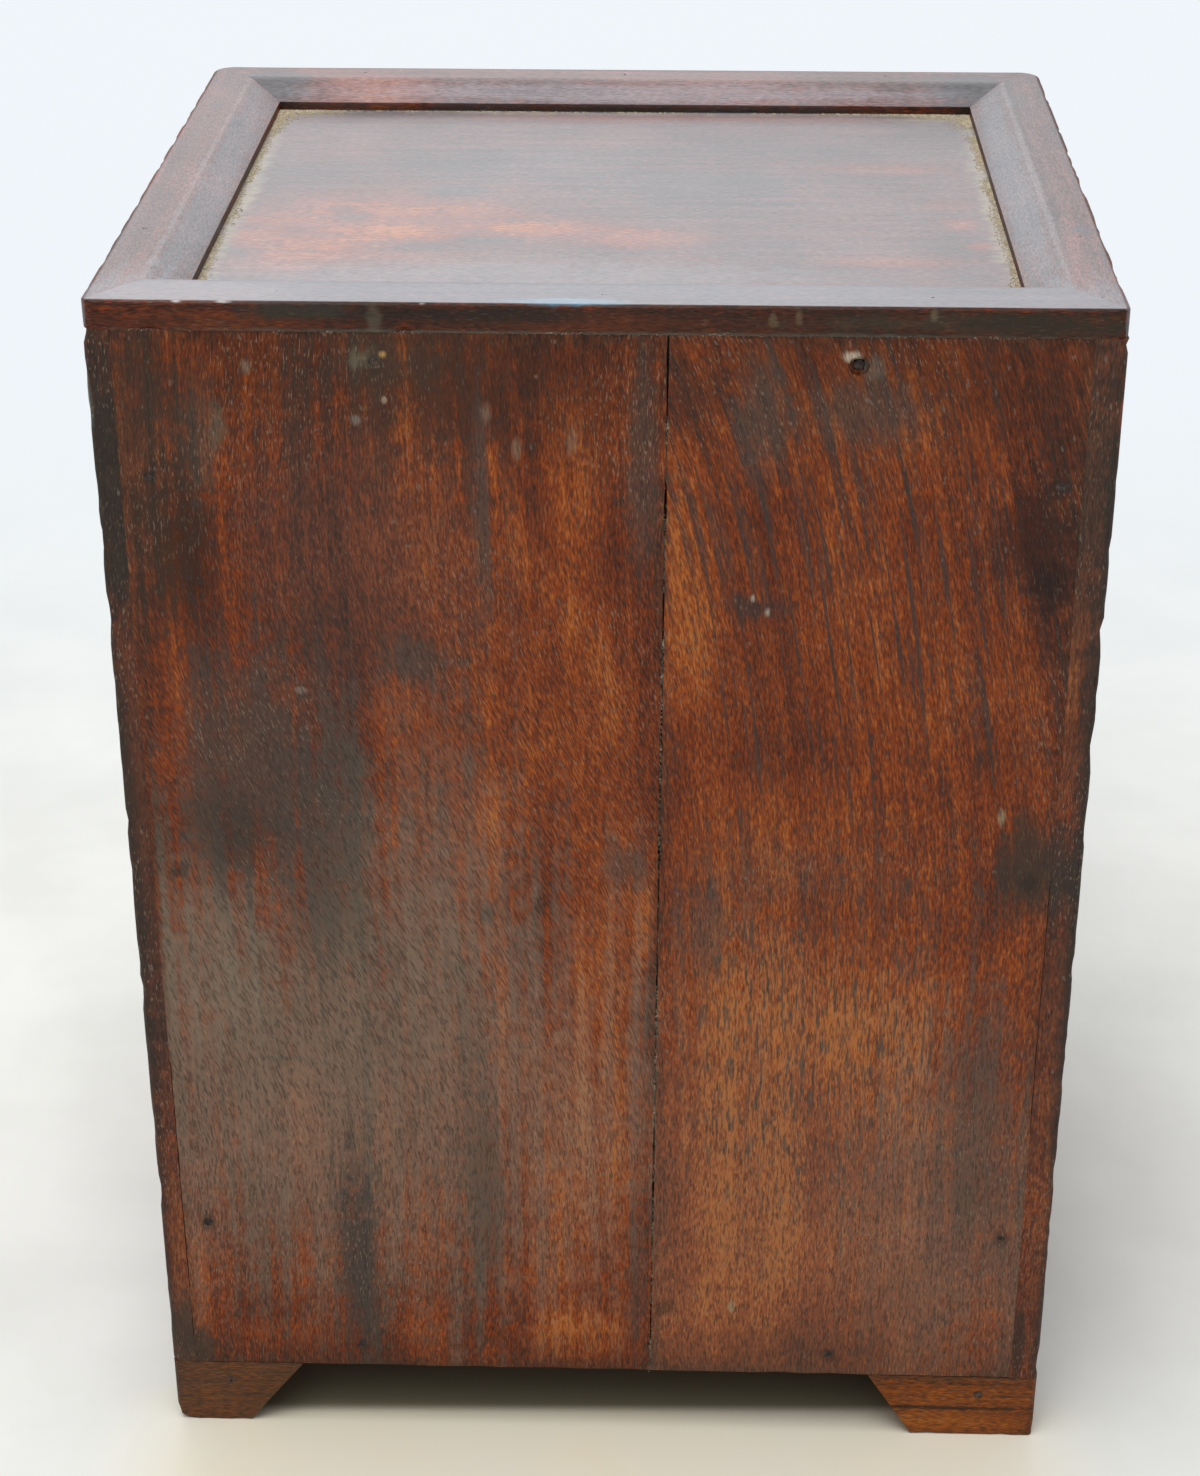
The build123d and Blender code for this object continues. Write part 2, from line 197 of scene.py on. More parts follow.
def old_wood(name, along, seed, tones=rosewood_tones, tone=0.5, marks=(), spots=(), bounds=None, flat="XZ",
             edge_dirt=0.35, dirt_reach=3.0, lean=None, slant=None, flecks=None, strokes=None, strand=0.35, haze_and_sheen=0.0,
             band=0.6, length=1.0, fluff=0.42, pits=0.52, shine=0.14, wax=0.04):
    """Hand-worn wood with its grain along one axis. Marks change its tone, and spots lay a colour over it."""
    material, place, shader = new_finish(name)
    run = axis_of[along]
    across = 0 if run else 1

    def grain(where, width, length, number, detail=2.0):
        sizes = [width, width, width]
        sizes[run] = length
        return where.cloud(sizes, seed + 3.1 * number, detail)

    slow = [60, 60, 60]
    slow[run] = 130
    bend = (place.cloud(slow, seed + 50, 1.0) - 0.5) * 9.0
    if lean:
        height = (place.parts()[2] - lean[0]).most(0.0)
        bend = bend - height * height * lean[1]
    tilt = bend
    if slant:
        start, end, shift = slant
        tilt = bend - place.parts()[run].fade(start, end) * shift
    whole, fine = place.moved(across, bend), place.moved(across, tilt)

    bands = grain(whole, 12, 420 * length, 1, 2.0)
    streaks = grain(whole, 2.4, 80 * length, 2, 3.0)
    strands = grain(whole, 0.9, 20 * length, 3, 2.0)
    dashes = grain(fine, 0.34, 1.7, 4, 1.0)
    pepper = grain(fine, 0.42, 2.2, 5, 1.0).fade(0.52, 0.66)
    lint = grain(fine, 0.32, 1.6, 6, 1.0).fade(0.59, 0.72)
    specks = grain(fine, 0.9, 2.4, 9, 1.0).fade(0.69, 0.79)
    clouds = place.cloud((28, 28, 28), seed + 60, 4.0)
    mottle = place.cloud((3.2, 3.2, 3.2), seed + 70, 3.0)
    grit = place.cloud((0.35, 0.35, 0.35), seed + 80, 1.0)
    ragged = (streaks - 0.5) * 1.3 + (mottle - 0.5) * 0.9 + (strands - 0.5) * 0.6

    shade = tone + (bands - 0.5) * band + (streaks - 0.5) * 0.4 + (strands - 0.5) * strand
    shade = shade + (dashes - 0.5) * 1.0 + (clouds - 0.5) * 0.5 + (mottle - 0.5) * 0.25
    for centre, reach, change in marks:
        shade = shade + stain(place, (centre, reach), ragged) * change
    colour = shade.ramp(tones)
    if strokes:
        long_dark = grain(whole, 1.3, 40, 7, 3.0).fade(0.5, 0.64)
        colour = colour.tinted((0.058, 0.044, 0.038), stain(place, strokes, ragged) * long_dark * 0.8)
    if flecks:
        short_dark = grain(whole, 0.8, 7.0, 8, 2.0).fade(0.51, 0.62)
        colour = colour.tinted((0.062, 0.046, 0.038), stain(place, flecks, ragged) * short_dark * 0.8)

    dirt = mottle.fade(0.66, 0.82) * 0.25
    if bounds:
        low, high = bounds
        near = None
        for axis in flat:
            number = axis_of[axis]
            part = place.parts()[number]
            gap = (part - low[number]).least(high[number] - part)
            near = near.least(gap) if near else gap
        edge = (near + (clouds - 0.5) * 2.6 * dirt_reach + (strands - 0.5) * 3.0).fade(dirt_reach, 0.0)
        dirt = dirt.most(edge * edge_dirt)
    grey = (mottle + (dashes - 0.5) * 0.8).ramp(((0.3, (0.018, 0.014, 0.011)), (0.75, (0.085, 0.068, 0.048))))
    colour = colour.tinted(grey, dirt)
    for centre, reach, overlay, amount in spots:
        laid = stain(place, (centre, reach), ragged) * (dashes * 0.8 + strands * 0.8 + 0.2) * amount
        colour = colour.tinted(overlay, laid.least(1.0))
    colour = colour.tinted((0.046, 0.033, 0.026), pepper * pits)
    colour = colour.tinted((0.31, 0.205, 0.135), lint * (clouds.fade(0.42, 0.62) * 1.1 + 0.3) * fluff)
    colour = colour.tinted((0.24, 0.18, 0.14), specks * fluff)
    waxed = (1.0 - dirt) * wax
    # Upward faces get a pale grey-violet haze: partly hazed old varnish, partly a painted sheen.
    if haze_and_sheen:
        x, y, z = place.parts()
        inset = (half_width - x.size()).least(back_face - y).least(y - front_face)
        uneven = (clouds - 0.5) * 0.2 + (dashes - 0.5) * 0.3 + (streaks - 0.5) * 0.15
        lip = (z - (case_top + 1.05)).size().fade(1.0, 0.8)
        upward = inset.fade(0.6, 1.3) * (1.0 - lip)
        waxed = waxed * upward
        haze_and_sheen_cover = upward * (uneven + haze_and_sheen)
        colour = colour.tinted(haze_and_sheen_colour, haze_and_sheen_cover)
    join(colour, shader, "Base Color")

    dull = 0.47 + (shade - 0.5) * 0.14 + (clouds - 0.5) * 0.08 + dirt * 0.2 + (grit - 0.5) * 0.16
    join(dull.least(0.8).most(0.28), shader, "Roughness")
    join(waxed, shader, "Coat Weight")
    shader.inputs["Coat Roughness"].default_value = 0.32
    shader.inputs["Specular IOR Level"].default_value = shine
    height = dashes * 0.5 + strands * 0.4 + mottle * 0.9 + grit * 0.35 - pepper * 0.3
    join(height.bump(0.5, 0.0002), shader, "Normal")
    return material


# Where the nails and pins are driven, each with the way that its head faces
back_spots = [((sign * 91, back_face, height), (0, 1, 0)) for sign in (-1, 1) for height in (58.5, 151.75, 243)]
back_spots += [((x, back_face, z), (0, 1, 0)) for x, z in ((45, 268), (57, 23.5), (-52.5, 23.5))]
open_hole = [((-50, back_face, 268), (0, 1, 0))]
side_spots = [
    ((sign * half_width, y, z), (sign, 0, 0)) for sign in (-1, 1) for y in (-58.5, 4.5, 67.5) for z in (23.5, 268)]
foot_spots = [
    ((sign * 88.3, y, 12.2), (0, math.copysign(1, y), 0)) for sign in (-1, 1) for y in (front_face, back_face)]
foot_spots += [((sign * 87, y, 0), (0, 0, -1)) for sign in (-1, 1) for y in (-53.5, 70.5)]
rail_spots = [((x, y, rail_top), (0, 0, 1)) for x in (-64, 0, 64) for y in (-75.5, 90.83)]
rail_spots += [((x, y, rail_top), (0, 0, 1)) for x in (-97, 97) for y in (-34.5, 51.5)]
tray_floors = [29.5, 109.667, 189.833]
tray_spots = {floor: [((sign * 45, 79.6, floor + 5), (0, 0, -1)) for sign in (-1, 1)] for floor in tray_floors}


def fill_nail_holes(mesh):
    """Closes the holes that the nails were driven through, apart from the open one."""
    nails = [(*nail, 2.2, 22.4) for nail in back_spots + side_spots + foot_spots]
    nails += [(*pin, 1.4, 12.4) for pin in rail_spots + sum(tray_spots.values(), [])]
    walls = []
    for face in mesh.faces:
        for spot, aim, radius, length in nails:
            inside = True
            for vert in face.verts:
                step = vert.co - Vector(spot)
                depth = -step.dot(Vector(aim))
                off = (step + depth * Vector(aim)).length
                inside = inside and -0.1 < depth < length and off < radius
            if inside:
                walls.append(face)
                break
    bmesh.ops.delete(mesh, geom=walls, context="FACES")
    bmesh.ops.holes_fill(mesh, edges=[edge for edge in mesh.edges if edge.is_boundary], sides=0)


def worn_board(node, finish, along, rounded, seed, step=3.0, wear=0.6, sag=0.12, moved=None, lines=(),
               body="case", slot="rosewood"):
    """A board with rounded corners, edges chipped by handling and faces that are no longer quite flat."""
    mesh = bmesh.new()
    mesh.from_mesh(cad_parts[node].data)
    mesh.transform(Matrix.Scale(1000, 4))
    bmesh.ops.remove_doubles(mesh, verts=mesh.verts, dist=0.003)
    fill_nail_holes(mesh)
    bmesh.ops.dissolve_limit(mesh, angle_limit=math.radians(1), verts=mesh.verts, edges=mesh.edges)
    run = axis_of[along]
    corners = []
    for width, test in rounded:
        chosen = []
        for edge in mesh.edges:
            start, end = edge.verts[0].co, edge.verts[1].co
            straight = max(abs(value) for value in end - start) > 0.98 * edge.calc_length()
            sharp = edge.is_convex and edge.calc_face_angle(0) > 0.4
            if edge.calc_length() > 5 and straight and sharp and test((start + end) / 2):
                chosen.append(edge)
                corners.append((start.copy(), end.copy()))
        bmesh.ops.bevel(mesh, geom=chosen, offset=width, segments=2, profile=0.5, affect="EDGES")
    low, high = [corner * 1000 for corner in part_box(node)]
    for axis in range(3):
        pace = step if axis == run else 2 * step
        count = max(2, round((high[axis] - low[axis]) / pace))
        cuts = [low[axis] + number * (high[axis] - low[axis]) / count for number in range(1, count)]
        cuts += [low[axis] + 1.3, high[axis] - 1.3] + [at for line, at in lines if line == axis]
        direction = Vector((axis == 0, axis == 1, axis == 2))
        for cut in cuts:
            everything = [*mesh.verts, *mesh.edges, *mesh.faces]
            bmesh.ops.bisect_plane(mesh, geom=everything, dist=0.001, plane_co=direction * cut, plane_no=direction)
    mesh.normal_update()
    offset = Vector((seed, -seed, 2 * seed))
    moves = []
    for vert in mesh.verts:
        spot = vert.co
        near = 99.0
        for start, end in corners:
            side = end - start
            share = min(1, max(0, (spot - start).dot(side) / side.length_squared))
            near = min(near, (spot - start - side * share).length)
        chip = max(0, noise.noise(spot / 7 + offset) + 0.6 * noise.noise(spot / 2.6 - offset) - 0.12)
        sink = wear * chip * max(0, 1 - near / 3) + sag * (1 + noise.noise(spot / 38 + offset))
        move = -sink * vert.normal
        moves.append(moved(spot, move) if moved else move)
    for vert, move in zip(mesh.verts, moves):
        vert.co = (vert.co + move) / 1000
    made = bpy.data.meshes.new(node + "_worn")
    mesh.to_mesh(made)
    mesh.free()
    if "custom_normal" in made.attributes:
        made.attributes.remove(made.attributes["custom_normal"])
    return place_piece(made, node + "_worn", finish, body, slot, node)


def shown(name, data):
    """A new object with this mesh, light or camera, put in the scene."""
    made = bpy.data.objects.new(name, data)
    bpy.context.scene.collection.objects.link(made)
    return made


def place_piece(mesh, name, finish, body, slot, *nodes):
    """Puts a finished mesh in the scene, riding on its body in place of its CAD nodes."""
    mesh.materials.clear()
    mesh.materials.append(finish)
    mesh.shade_smooth()
    mesh.set_sharp_from_angle(angle=math.radians(38))
    piece = shown(name, mesh)
    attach(piece, body)
    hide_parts(*nodes)
    return piece


def box_of(node):
    return [tuple(1000 * value for value in corner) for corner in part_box(node)]


def ends_meet(spot, move):
    """The ends of an upright board stay tight against the frame above and the feet below."""
    return move if case_foot + 0.7 < spot.z < case_top - 0.6 else Vector((move.x, move.y, 0))


panel_marks = {
    "left": [
        ((-99, 97, 80), (6, 20, 66), 0.2), ((-96.6, 97, 196), (1.6, 20, 26), 0.3),
        ((-97, 97, 156), (6, 20, 16), -0.2), ((-99, 97, 240), (6, 20, 40), -0.15),
        ((-102, 10, 170), (20, 60, 70), -0.14), ((-102, -30, 80), (20, 45, 40), 0.12),
    ],
    "right": [
        ((98, 97, 50), (3, 20, 24), 0.34), ((98.5, 97, 178), (2.4, 20, 40), 0.26),
        ((99, 97, 240), (6, 20, 40), -0.2), ((102, 20, 120), (20, 60, 60), -0.12),
        ((102, -20, 220), (20, 50, 40), 0.1),
    ],
}
grime, handling = (0.045, 0.04, 0.031), (0.034, 0.027, 0.022)
panel_spots = {
    "left": [
        ((-98, 97, 236), (7, 20, 44), (0.06, 0.046, 0.032), 0.42), ((-96, 97, 155), (8, 20, 13), grime, 0.6),
        ((-101.6, 97, 140), (1.8, 20, 150), soot, 0.8), ((-97, 97, 28), (2, 20, 10), soot, 0.7),
        ((-101, 97, 150), (3.4, 8, 150), handling, 0.6),
    ],
    "right": [
        ((99, 97, 250), (7, 20, 40), (0.03, 0.024, 0.018), 0.5), ((101.4, 97, 140), (2.2, 20, 160), soot, 0.6),
        ((98, 97, 26), (7, 20, 14), grime, 0.7), ((102, 97, 259), (1.2, 4, 7), (0.25, 0.24, 0.21), 0.6),
        ((99.5, 97, 168), (5, 8, 118), handling, 0.55),
    ],
}
worn_depth = 11.5


def hand_worn(spot, move):
    """Hands have worn the outer rear edges into shallow hollows."""
    move = ends_meet(spot, move)
    inward = spot.y - back_face + worn_depth
    if abs(spot.x) > half_width - 1 and inward > 0:
        hollow = noise.noise(Vector((spot.x, 3, spot.z / 9))) + 0.6 * noise.noise(Vector((spot.x, 5, spot.z / 3.6)))
        move.x -= math.copysign(max(0, hollow) * inward / worn_depth, spot.x)
    return move


for number, side in enumerate(("left", "right")):
    name = f"side_panel_{side}"
    finish = old_wood(
        f"rosewood_{name}", "Z", 5.3 + 4.1 * number, marks=panel_marks[side], spots=panel_spots[side],
        bounds=box_of(name), flat="YZ", tone=0.47)
    worn_board(name, finish, "Z", [(0.5, lambda spot: abs(spot.x) > half_width - 0.5)], 11.0 + number, wear=2.4,
               moved=hand_worn)

# Bottom board and the two dividers: sawn rosewood boards slid into housings in the sides.
# Only their front edges show between the drawers, and the underside shows between the feet.
front_edge = [(0.5, lambda spot: spot.y < front_face + 0.5)]
shelf_finish = old_wood("rosewood_shelves", "X", 21.4, tone=0.42)
for number, name in enumerate(("bottom_board", "divider_1", "divider_2")):
    worn_board(name, shelf_finish, "X", front_edge, 23.0 + number, step=6.0)

# Top board: a wide rosewood board with its grain from side to side, sunk inside the moulded frame.
# Its varnish has hazed and gone dark, with bare orange wood where things stood, and dust in its corners; the pale
# haze over it is partly a painted sheen.
def on_top(marks):
    """Marks on the sunk board, given as x, y, how far they reach along each, and what they do there."""
    return [((x, y, case_top), (wide, deep, None), *rest) for x, y, wide, deep, *rest in marks]


top_marks = on_top([
    (62, 32, 26, 24, 0.34), (36, 26, 26, 20, 0.3), (10, 32, 20, 13, 0.32), (50, 8, 26, 14, 0.16),
    (-10, 37, 16, 7, 0.34), (52, 50, 30, 12, 0.22), (74, 24, 9, 7, 0.18), (72, 56, 16, 9, 0.26),
    (76, 38, 8, 7, 0.2), (46, 33, 16, 6, 0.2), (64, 42, 14, 6, 0.18), (16, 31, 14, 5, 0.18), (32, 18, 12, 5, 0.16),
    (66, 14, 9, 5, 0.16), (56, 23, 5, 5, -0.34), (60, 17, 4, 3, -0.3), (26, 38, 9, 4, -0.28), (36, 4, 10, 6, -0.3),
    (42, 44, 14, 4, -0.22), (78, 50, 7, 8, -0.2), (-62, -16, 18, 5, 0.3), (-75, 25, 6, 5, 0.4),
    (-79, 40, 5, 4, 0.4), (-60, 51, 20, 5, 0.3), (-18, -58, 60, 5, 0.26), (-73, 11, 8, 5, 0.22),
    (20, -18, 30, 16, -0.12), (-20, 2, 26, 18, -0.12), (66, -26, 14, 8, 0.12),
])
top_spots = on_top([
    (84, 6, 4.4, 84, tan_dust, 0.8), (-84, 6, 4.4, 84, tan_dust, 0.8), (80, -62, 14, 6, tan_dust, 0.6),
    (-78, -61, 16, 7, tan_dust, 0.6), (0, -62, 80, 2.6, (0.5, 0.49, 0.46), 0.5),
    # The pale grey-violet patch near the back rail is a painted sheen.
    (20, 64, 80, 15, (0.5, 0.47, 0.49), 0.22),
])
top_finish = old_wood(
    "rosewood_top", "X", 33.7, marks=top_marks, spots=top_spots, tone=0.27, haze_and_sheen=0.25,
    band=0.25, length=0.3, fluff=0.3, shine=0.25, wax=0.5)
worn_board("top_board", top_finish, "X", front_edge, 35.0, sag=0.05)

# Back boards: two upright rosewood boards of unlike width, nailed on from behind and shrunk apart.
# The wide one is smooth with dark bands, the narrow one has leaning grain with short dark flecks.
def on_back(marks):
    """Marks on the back boards, given as x, z, how far they reach along each, and what they do there."""
    return [((x, 97, z), (wide, None, tall), *rest) for x, z, wide, tall, *rest in marks]


wide_marks = on_back([
    (22, 247, 2.6, 8, 0.17), (18, 236, 3.0, 9, 0.18), (15.5, 225, 3.0, 9, 0.18), (11, 220, 2.4, 7, 0.16),
    (6, 213, 3.4, 9, 0.18), (1, 204, 3.2, 9, 0.19), (-2, 194, 2.6, 11, 0.18), (6, 240, 7, 26, 0.24),
    (10, 190, 12, 34, 0.1), (-9, 140, 3.2, 14, 0.3), (12, 62, 10, 54, 0.24), (2, 125, 9, 32, 0.14),
    (-4, 110, 9, 80, 0.12), (-2, 92, 4, 50, 0.14), (5, 110, 2.2, 44, 0.2), (22, 118, 1.8, 30, 0.2),
    (49, 84, 2.6, 34, 0.14), (42, 27, 9, 10, 0.18), (68, 88, 5, 20, 0.1), (23, 162, 1.6, 19, 0.2),
    (6, 27, 14, 9, 0.34), (76, 27, 14, 6, 0.14), (43, 190, 9, 10, 0.16), (88, 210, 4, 26, 0.14),
    (40, 255, 12, 16, 0.06), (52.5, 110, 1.2, 95, -0.14), (94, 40, 3, 26, 0.26), (70.5, 104, 9, 0.7, -0.45),
    (63, 102.8, 4, 0.6, -0.3), (26, 108, 3.4, 26, -0.12), (25, 142, 2.6, 3, -0.3), (13, 145, 2.4, 3, -0.2),
])
# A pale haze laid over the lower parts of the back boards: a painted reflection of the bright floor.
painted_floor_sheen = (0.26, 0.207, 0.15)
wide_spots = on_back([
    (58, 98, 84, 78, painted_floor_sheen, 0.5), (84, 132, 14, 26, painted_floor_sheen, 0.35), (40, 19, 110, 11, (0.05, 0.033, 0.024), 0.24),
    # The dark band along the top of the board, just under the frame, is painted shade and dirt.
    (40, 274, 90, 34, (0.032, 0.019, 0.012), 0.42), (70, 104, 34, 34, painted_floor_sheen, 0.16), (27, 72, 5, 34, smoke, 0.45),
    (-8, 42, 3.4, 28, smoke, 0.5), (30, 108, 3, 30, smoke, 0.3), (36, 150, 22, 50, painted_floor_sheen, 0.2),
    (86, 229, 12, 26, (0.026, 0.015, 0.01), 0.75), (50, 226, 34, 44, (0.105, 0.072, 0.058), 0.34),
    (36, 262, 26, 16, (0.04, 0.024, 0.018), 0.45), (73, 178, 21, 36, smoke, 0.75), (61, 158, 11, 32, smoke, 0.5),
    (78, 160, 11, 13, soot, 0.35), (38, 203, 9, 7, smoke, 0.7), (57, 50, 6, 38, (0.062, 0.052, 0.046), 0.85),
    (94, 244, 13, 44, grime, 0.5), (80, 252, 5, 16, (0.1, 0.09, 0.07), 0.4), (83, 256, 9, 16, grime, 0.4),
    (24, 236, 2.2, 30, smoke, 0.75), (-8, 246, 4, 26, smoke, 0.55), (-5, 155, 6, 7, smoke, 0.6),
    (44, 268, 16, 8, (0.05, 0.042, 0.032), 0.6), (95, 22, 6, 8, grime, 0.7),
    (43.1, 269.5, 0.9, 0.9, (0.52, 0.3, 0.1), 0.9), (47.5, 268, 3, 2, (0.16, 0.14, 0.09), 0.3),
    (86.8, 150, 2.4, 2.4, (0.12, 0.1, 0.07), 0.5), (49.1, 255.7, 1.4, 1.2, (0.24, 0.2, 0.17), 0.6),
    (43, 260, 0.6, 0.9, (0.46, 0.33, 0.24), 0.7), (63, 195.8, 2.2, 1.0, (0.26, 0.2, 0.16), 0.6),
    (76.6, 254, 2.4, 6, (0.15, 0.125, 0.085), 0.5), (70, 266.5, 1.2, 2.4, (0.26, 0.2, 0.14), 0.5),
    (17, 250, 1.3, 3, (0.28, 0.19, 0.12), 0.5), (6, 252, 1.3, 4, (0.28, 0.19, 0.12), 0.4),
    (23, 257.5, 1.2, 3, (0.24, 0.18, 0.13), 0.5), (46.5, 268.6, 3.4, 2.6, (0.17, 0.14, 0.09), 0.45),
])
narrow_marks = on_back([
    (-46, 106, 34, 36, 0.28), (-38, 164, 18, 16, 0.14), (-20, 110, 12, 80, 0.12), (-60, 128, 34, 30, 0.08),
    (-38, 54, 18, 30, 0.14), (-32, 66, 18, 40, 0.16), (-26, 30, 16, 14, 0.14), (-60, 205, 26, 34, 0.08),
    (-18, 222, 8, 34, 0.18), (-84, 190, 10, 16, 0.06), (-50, 50, 30, 22, 0.05), (-62, 255, 20, 10, 0.08),
])
narrow_spots = on_back([
    # The two pale haze spots on the lower board are a painted reflection of the floor.
    (-40, 50, 90, 100, painted_floor_sheen, 0.19), (-76, 62, 24, 54, painted_floor_sheen, 0.22),
    (-86, 233, 11, 14, (0.032, 0.014, 0.012), 0.65), (-91, 222, 5, 7, (0.022, 0.012, 0.011), 0.8),
    # The dark band along the top of the board, just under the frame, is painted shade and dirt.
    (-52, 274, 64, 30, (0.032, 0.019, 0.012), 0.38), (-18, 262, 8, 10, (0.04, 0.028, 0.022), 0.4),
    (-93, 235, 10, 45, (0.03, 0.021, 0.017), 0.35), (-50, 19, 60, 12, (0.05, 0.033, 0.024), 0.25),
    (-91, 155, 10, 13, grime, 0.8), (-84, 84, 12, 44, smoke, 0.5), (-31, 256, 7, 16, smoke, 0.7),
    (-52, 258, 15, 9, smoke, 0.6), (-42, 154, 28, 10, smoke, 0.2), (-22, 140, 8, 16, smoke, 0.5),
    (-79, 181, 2.6, 5, soot, 0.45), (-31, 216, 7, 3.4, (0.04, 0.036, 0.034), 0.7), (-14.5, 36, 3, 3, soot, 0.5),
    (-48.6, 270.0, 2.2, 1.5, (0.6, 0.5, 0.38), 0.8), (-53, 267.6, 2.6, 2.6, (0.15, 0.12, 0.09), 0.6),
    (-33.5, 215, 0.8, 1.4, (0.38, 0.32, 0.24), 0.9), (-29.6, 37, 1.0, 2.0, tan_dust, 0.7),
    (-30.5, 218, 0.6, 1.0, (0.4, 0.34, 0.27), 0.9), (-84, 168, 1.0, 2.2, tan_dust, 0.6),
])
nail_soot = [(spot, (2.3, None, 2.6), soot, 0.55) for spot, aim in back_spots]
wide_finish = old_wood(
    "rosewood_back_wide", "Z", 47.2, marks=wide_marks, spots=wide_spots + nail_soot,
    bounds=box_of("back_board_right"), slant=(70, 235, 46), strand=0.5, shine=0.07)
narrow_finish = old_wood(
    "rosewood_back_narrow", "Z", 58.9, marks=narrow_marks, spots=narrow_spots + nail_soot,
    bounds=box_of("back_board_left"), lean=(110, 0.001), strokes=((-52, 97, 215), (60, None, 75)),
    flecks=((-48, 97, 108), (40, None, 62)), tone=0.54, strand=0.5, shine=0.07)


seam_top, seam_shift = -12.8, 1.9


def seam_at(height):
    """Where the shrunk joint of the two boards lies, left or right of the middle."""
    return seam_top + seam_shift * (case_top - height) / (case_top - case_foot)


def board_edges(spot):
    at_seam = spot.y > back_face - 0.5 and abs(spot.x - seam_at(spot.z)) < 1.5
    return at_seam or spot.z > case_top - 0.5 or spot.z < case_foot + 0.5


def swollen(spot, move):
    """The boards touch the sides where they haven't shrunk, and their joint is open only in places."""
    move = ends_meet(spot, move)
    if spot.z < case_foot + 0.7 and abs(spot.x) < 62:
        move.z = max(0, 0.5 * noise.noise(spot / 8) + 0.4 * noise.noise(spot / 2.7))
    middle, half = (65, 33) if spot.x > 0 else (120, 22)
    shut = min(1, max(0, (abs(spot.z - middle) - half) / 10 + 1.2 * noise.noise(spot / 13)))
    if spot.x > 94.4 or spot.x < -93.1:
        thin = 0.34 + 0.16 * noise.noise(Vector((spot.x, 7, spot.z / 8)))
        move.x = math.copysign(max(shut * 0.52, thin), spot.x)
        move.y = min(0, move.y)
    middle = seam_at(spot.z)
    if abs(spot.x - middle) < 0.8:
        push = 0.24 + 0.22 * noise.noise(Vector((0, 0, spot.z / 11))) + 0.06 * noise.noise(spot / 2)
        move.x = math.copysign(min(0.38, max(0.0, push)), middle - spot.x)
    return move


worn_board("back_board_right", wide_finish, "Z", [(0.25, board_edges)], 49.0, wear=0.5, moved=swollen)
worn_board("back_board_left", narrow_finish, "Z", [(0.25, board_edges)], 61.0, wear=0.5, moved=swollen)

# Moulded frame: four mitred rosewood rails pinned round the top, each with a flat, a ridge and a bevel.
# They stand proud of the sunk board, and their outer edges are rubbed, pitted and chipped.
rail_width, back_rail_width, rail_flat = 18, 24, 10
ridge_half, corner_radius = 1.6, 3
rail_marks = {
    "front": [
        ((60, -66, 277), (18, 8, None), 0.3), ((-30, -66, 277), (44, 8, None), 0.12),
        ((86, -68, 277), (10, 9, None), -0.3), ((-84, -68, 277), (10, 9, None), -0.3),
    ],
    "back": [
        ((76, 97.5, 276), (26, 2, 2.5), 0.26), ((2, 97.5, 276.5), (24, 2, 3), 0.3),
        ((-36, 97.5, 276.5), (16, 2, 2.5), 0.14), ((-72, 97.5, 276), (10, 2, 2), 0.1),
    ],
    "left": [],
    "right": [],
}
# The pale ridge colour is a painted highlight along the rubbed ridges of the side rails.
bare_chip, pin_stain, rubbed_ridge_highlight = (0.8, 0.77, 0.73), (0.03, 0.04, 0.05), (0.6, 0.55, 0.56)
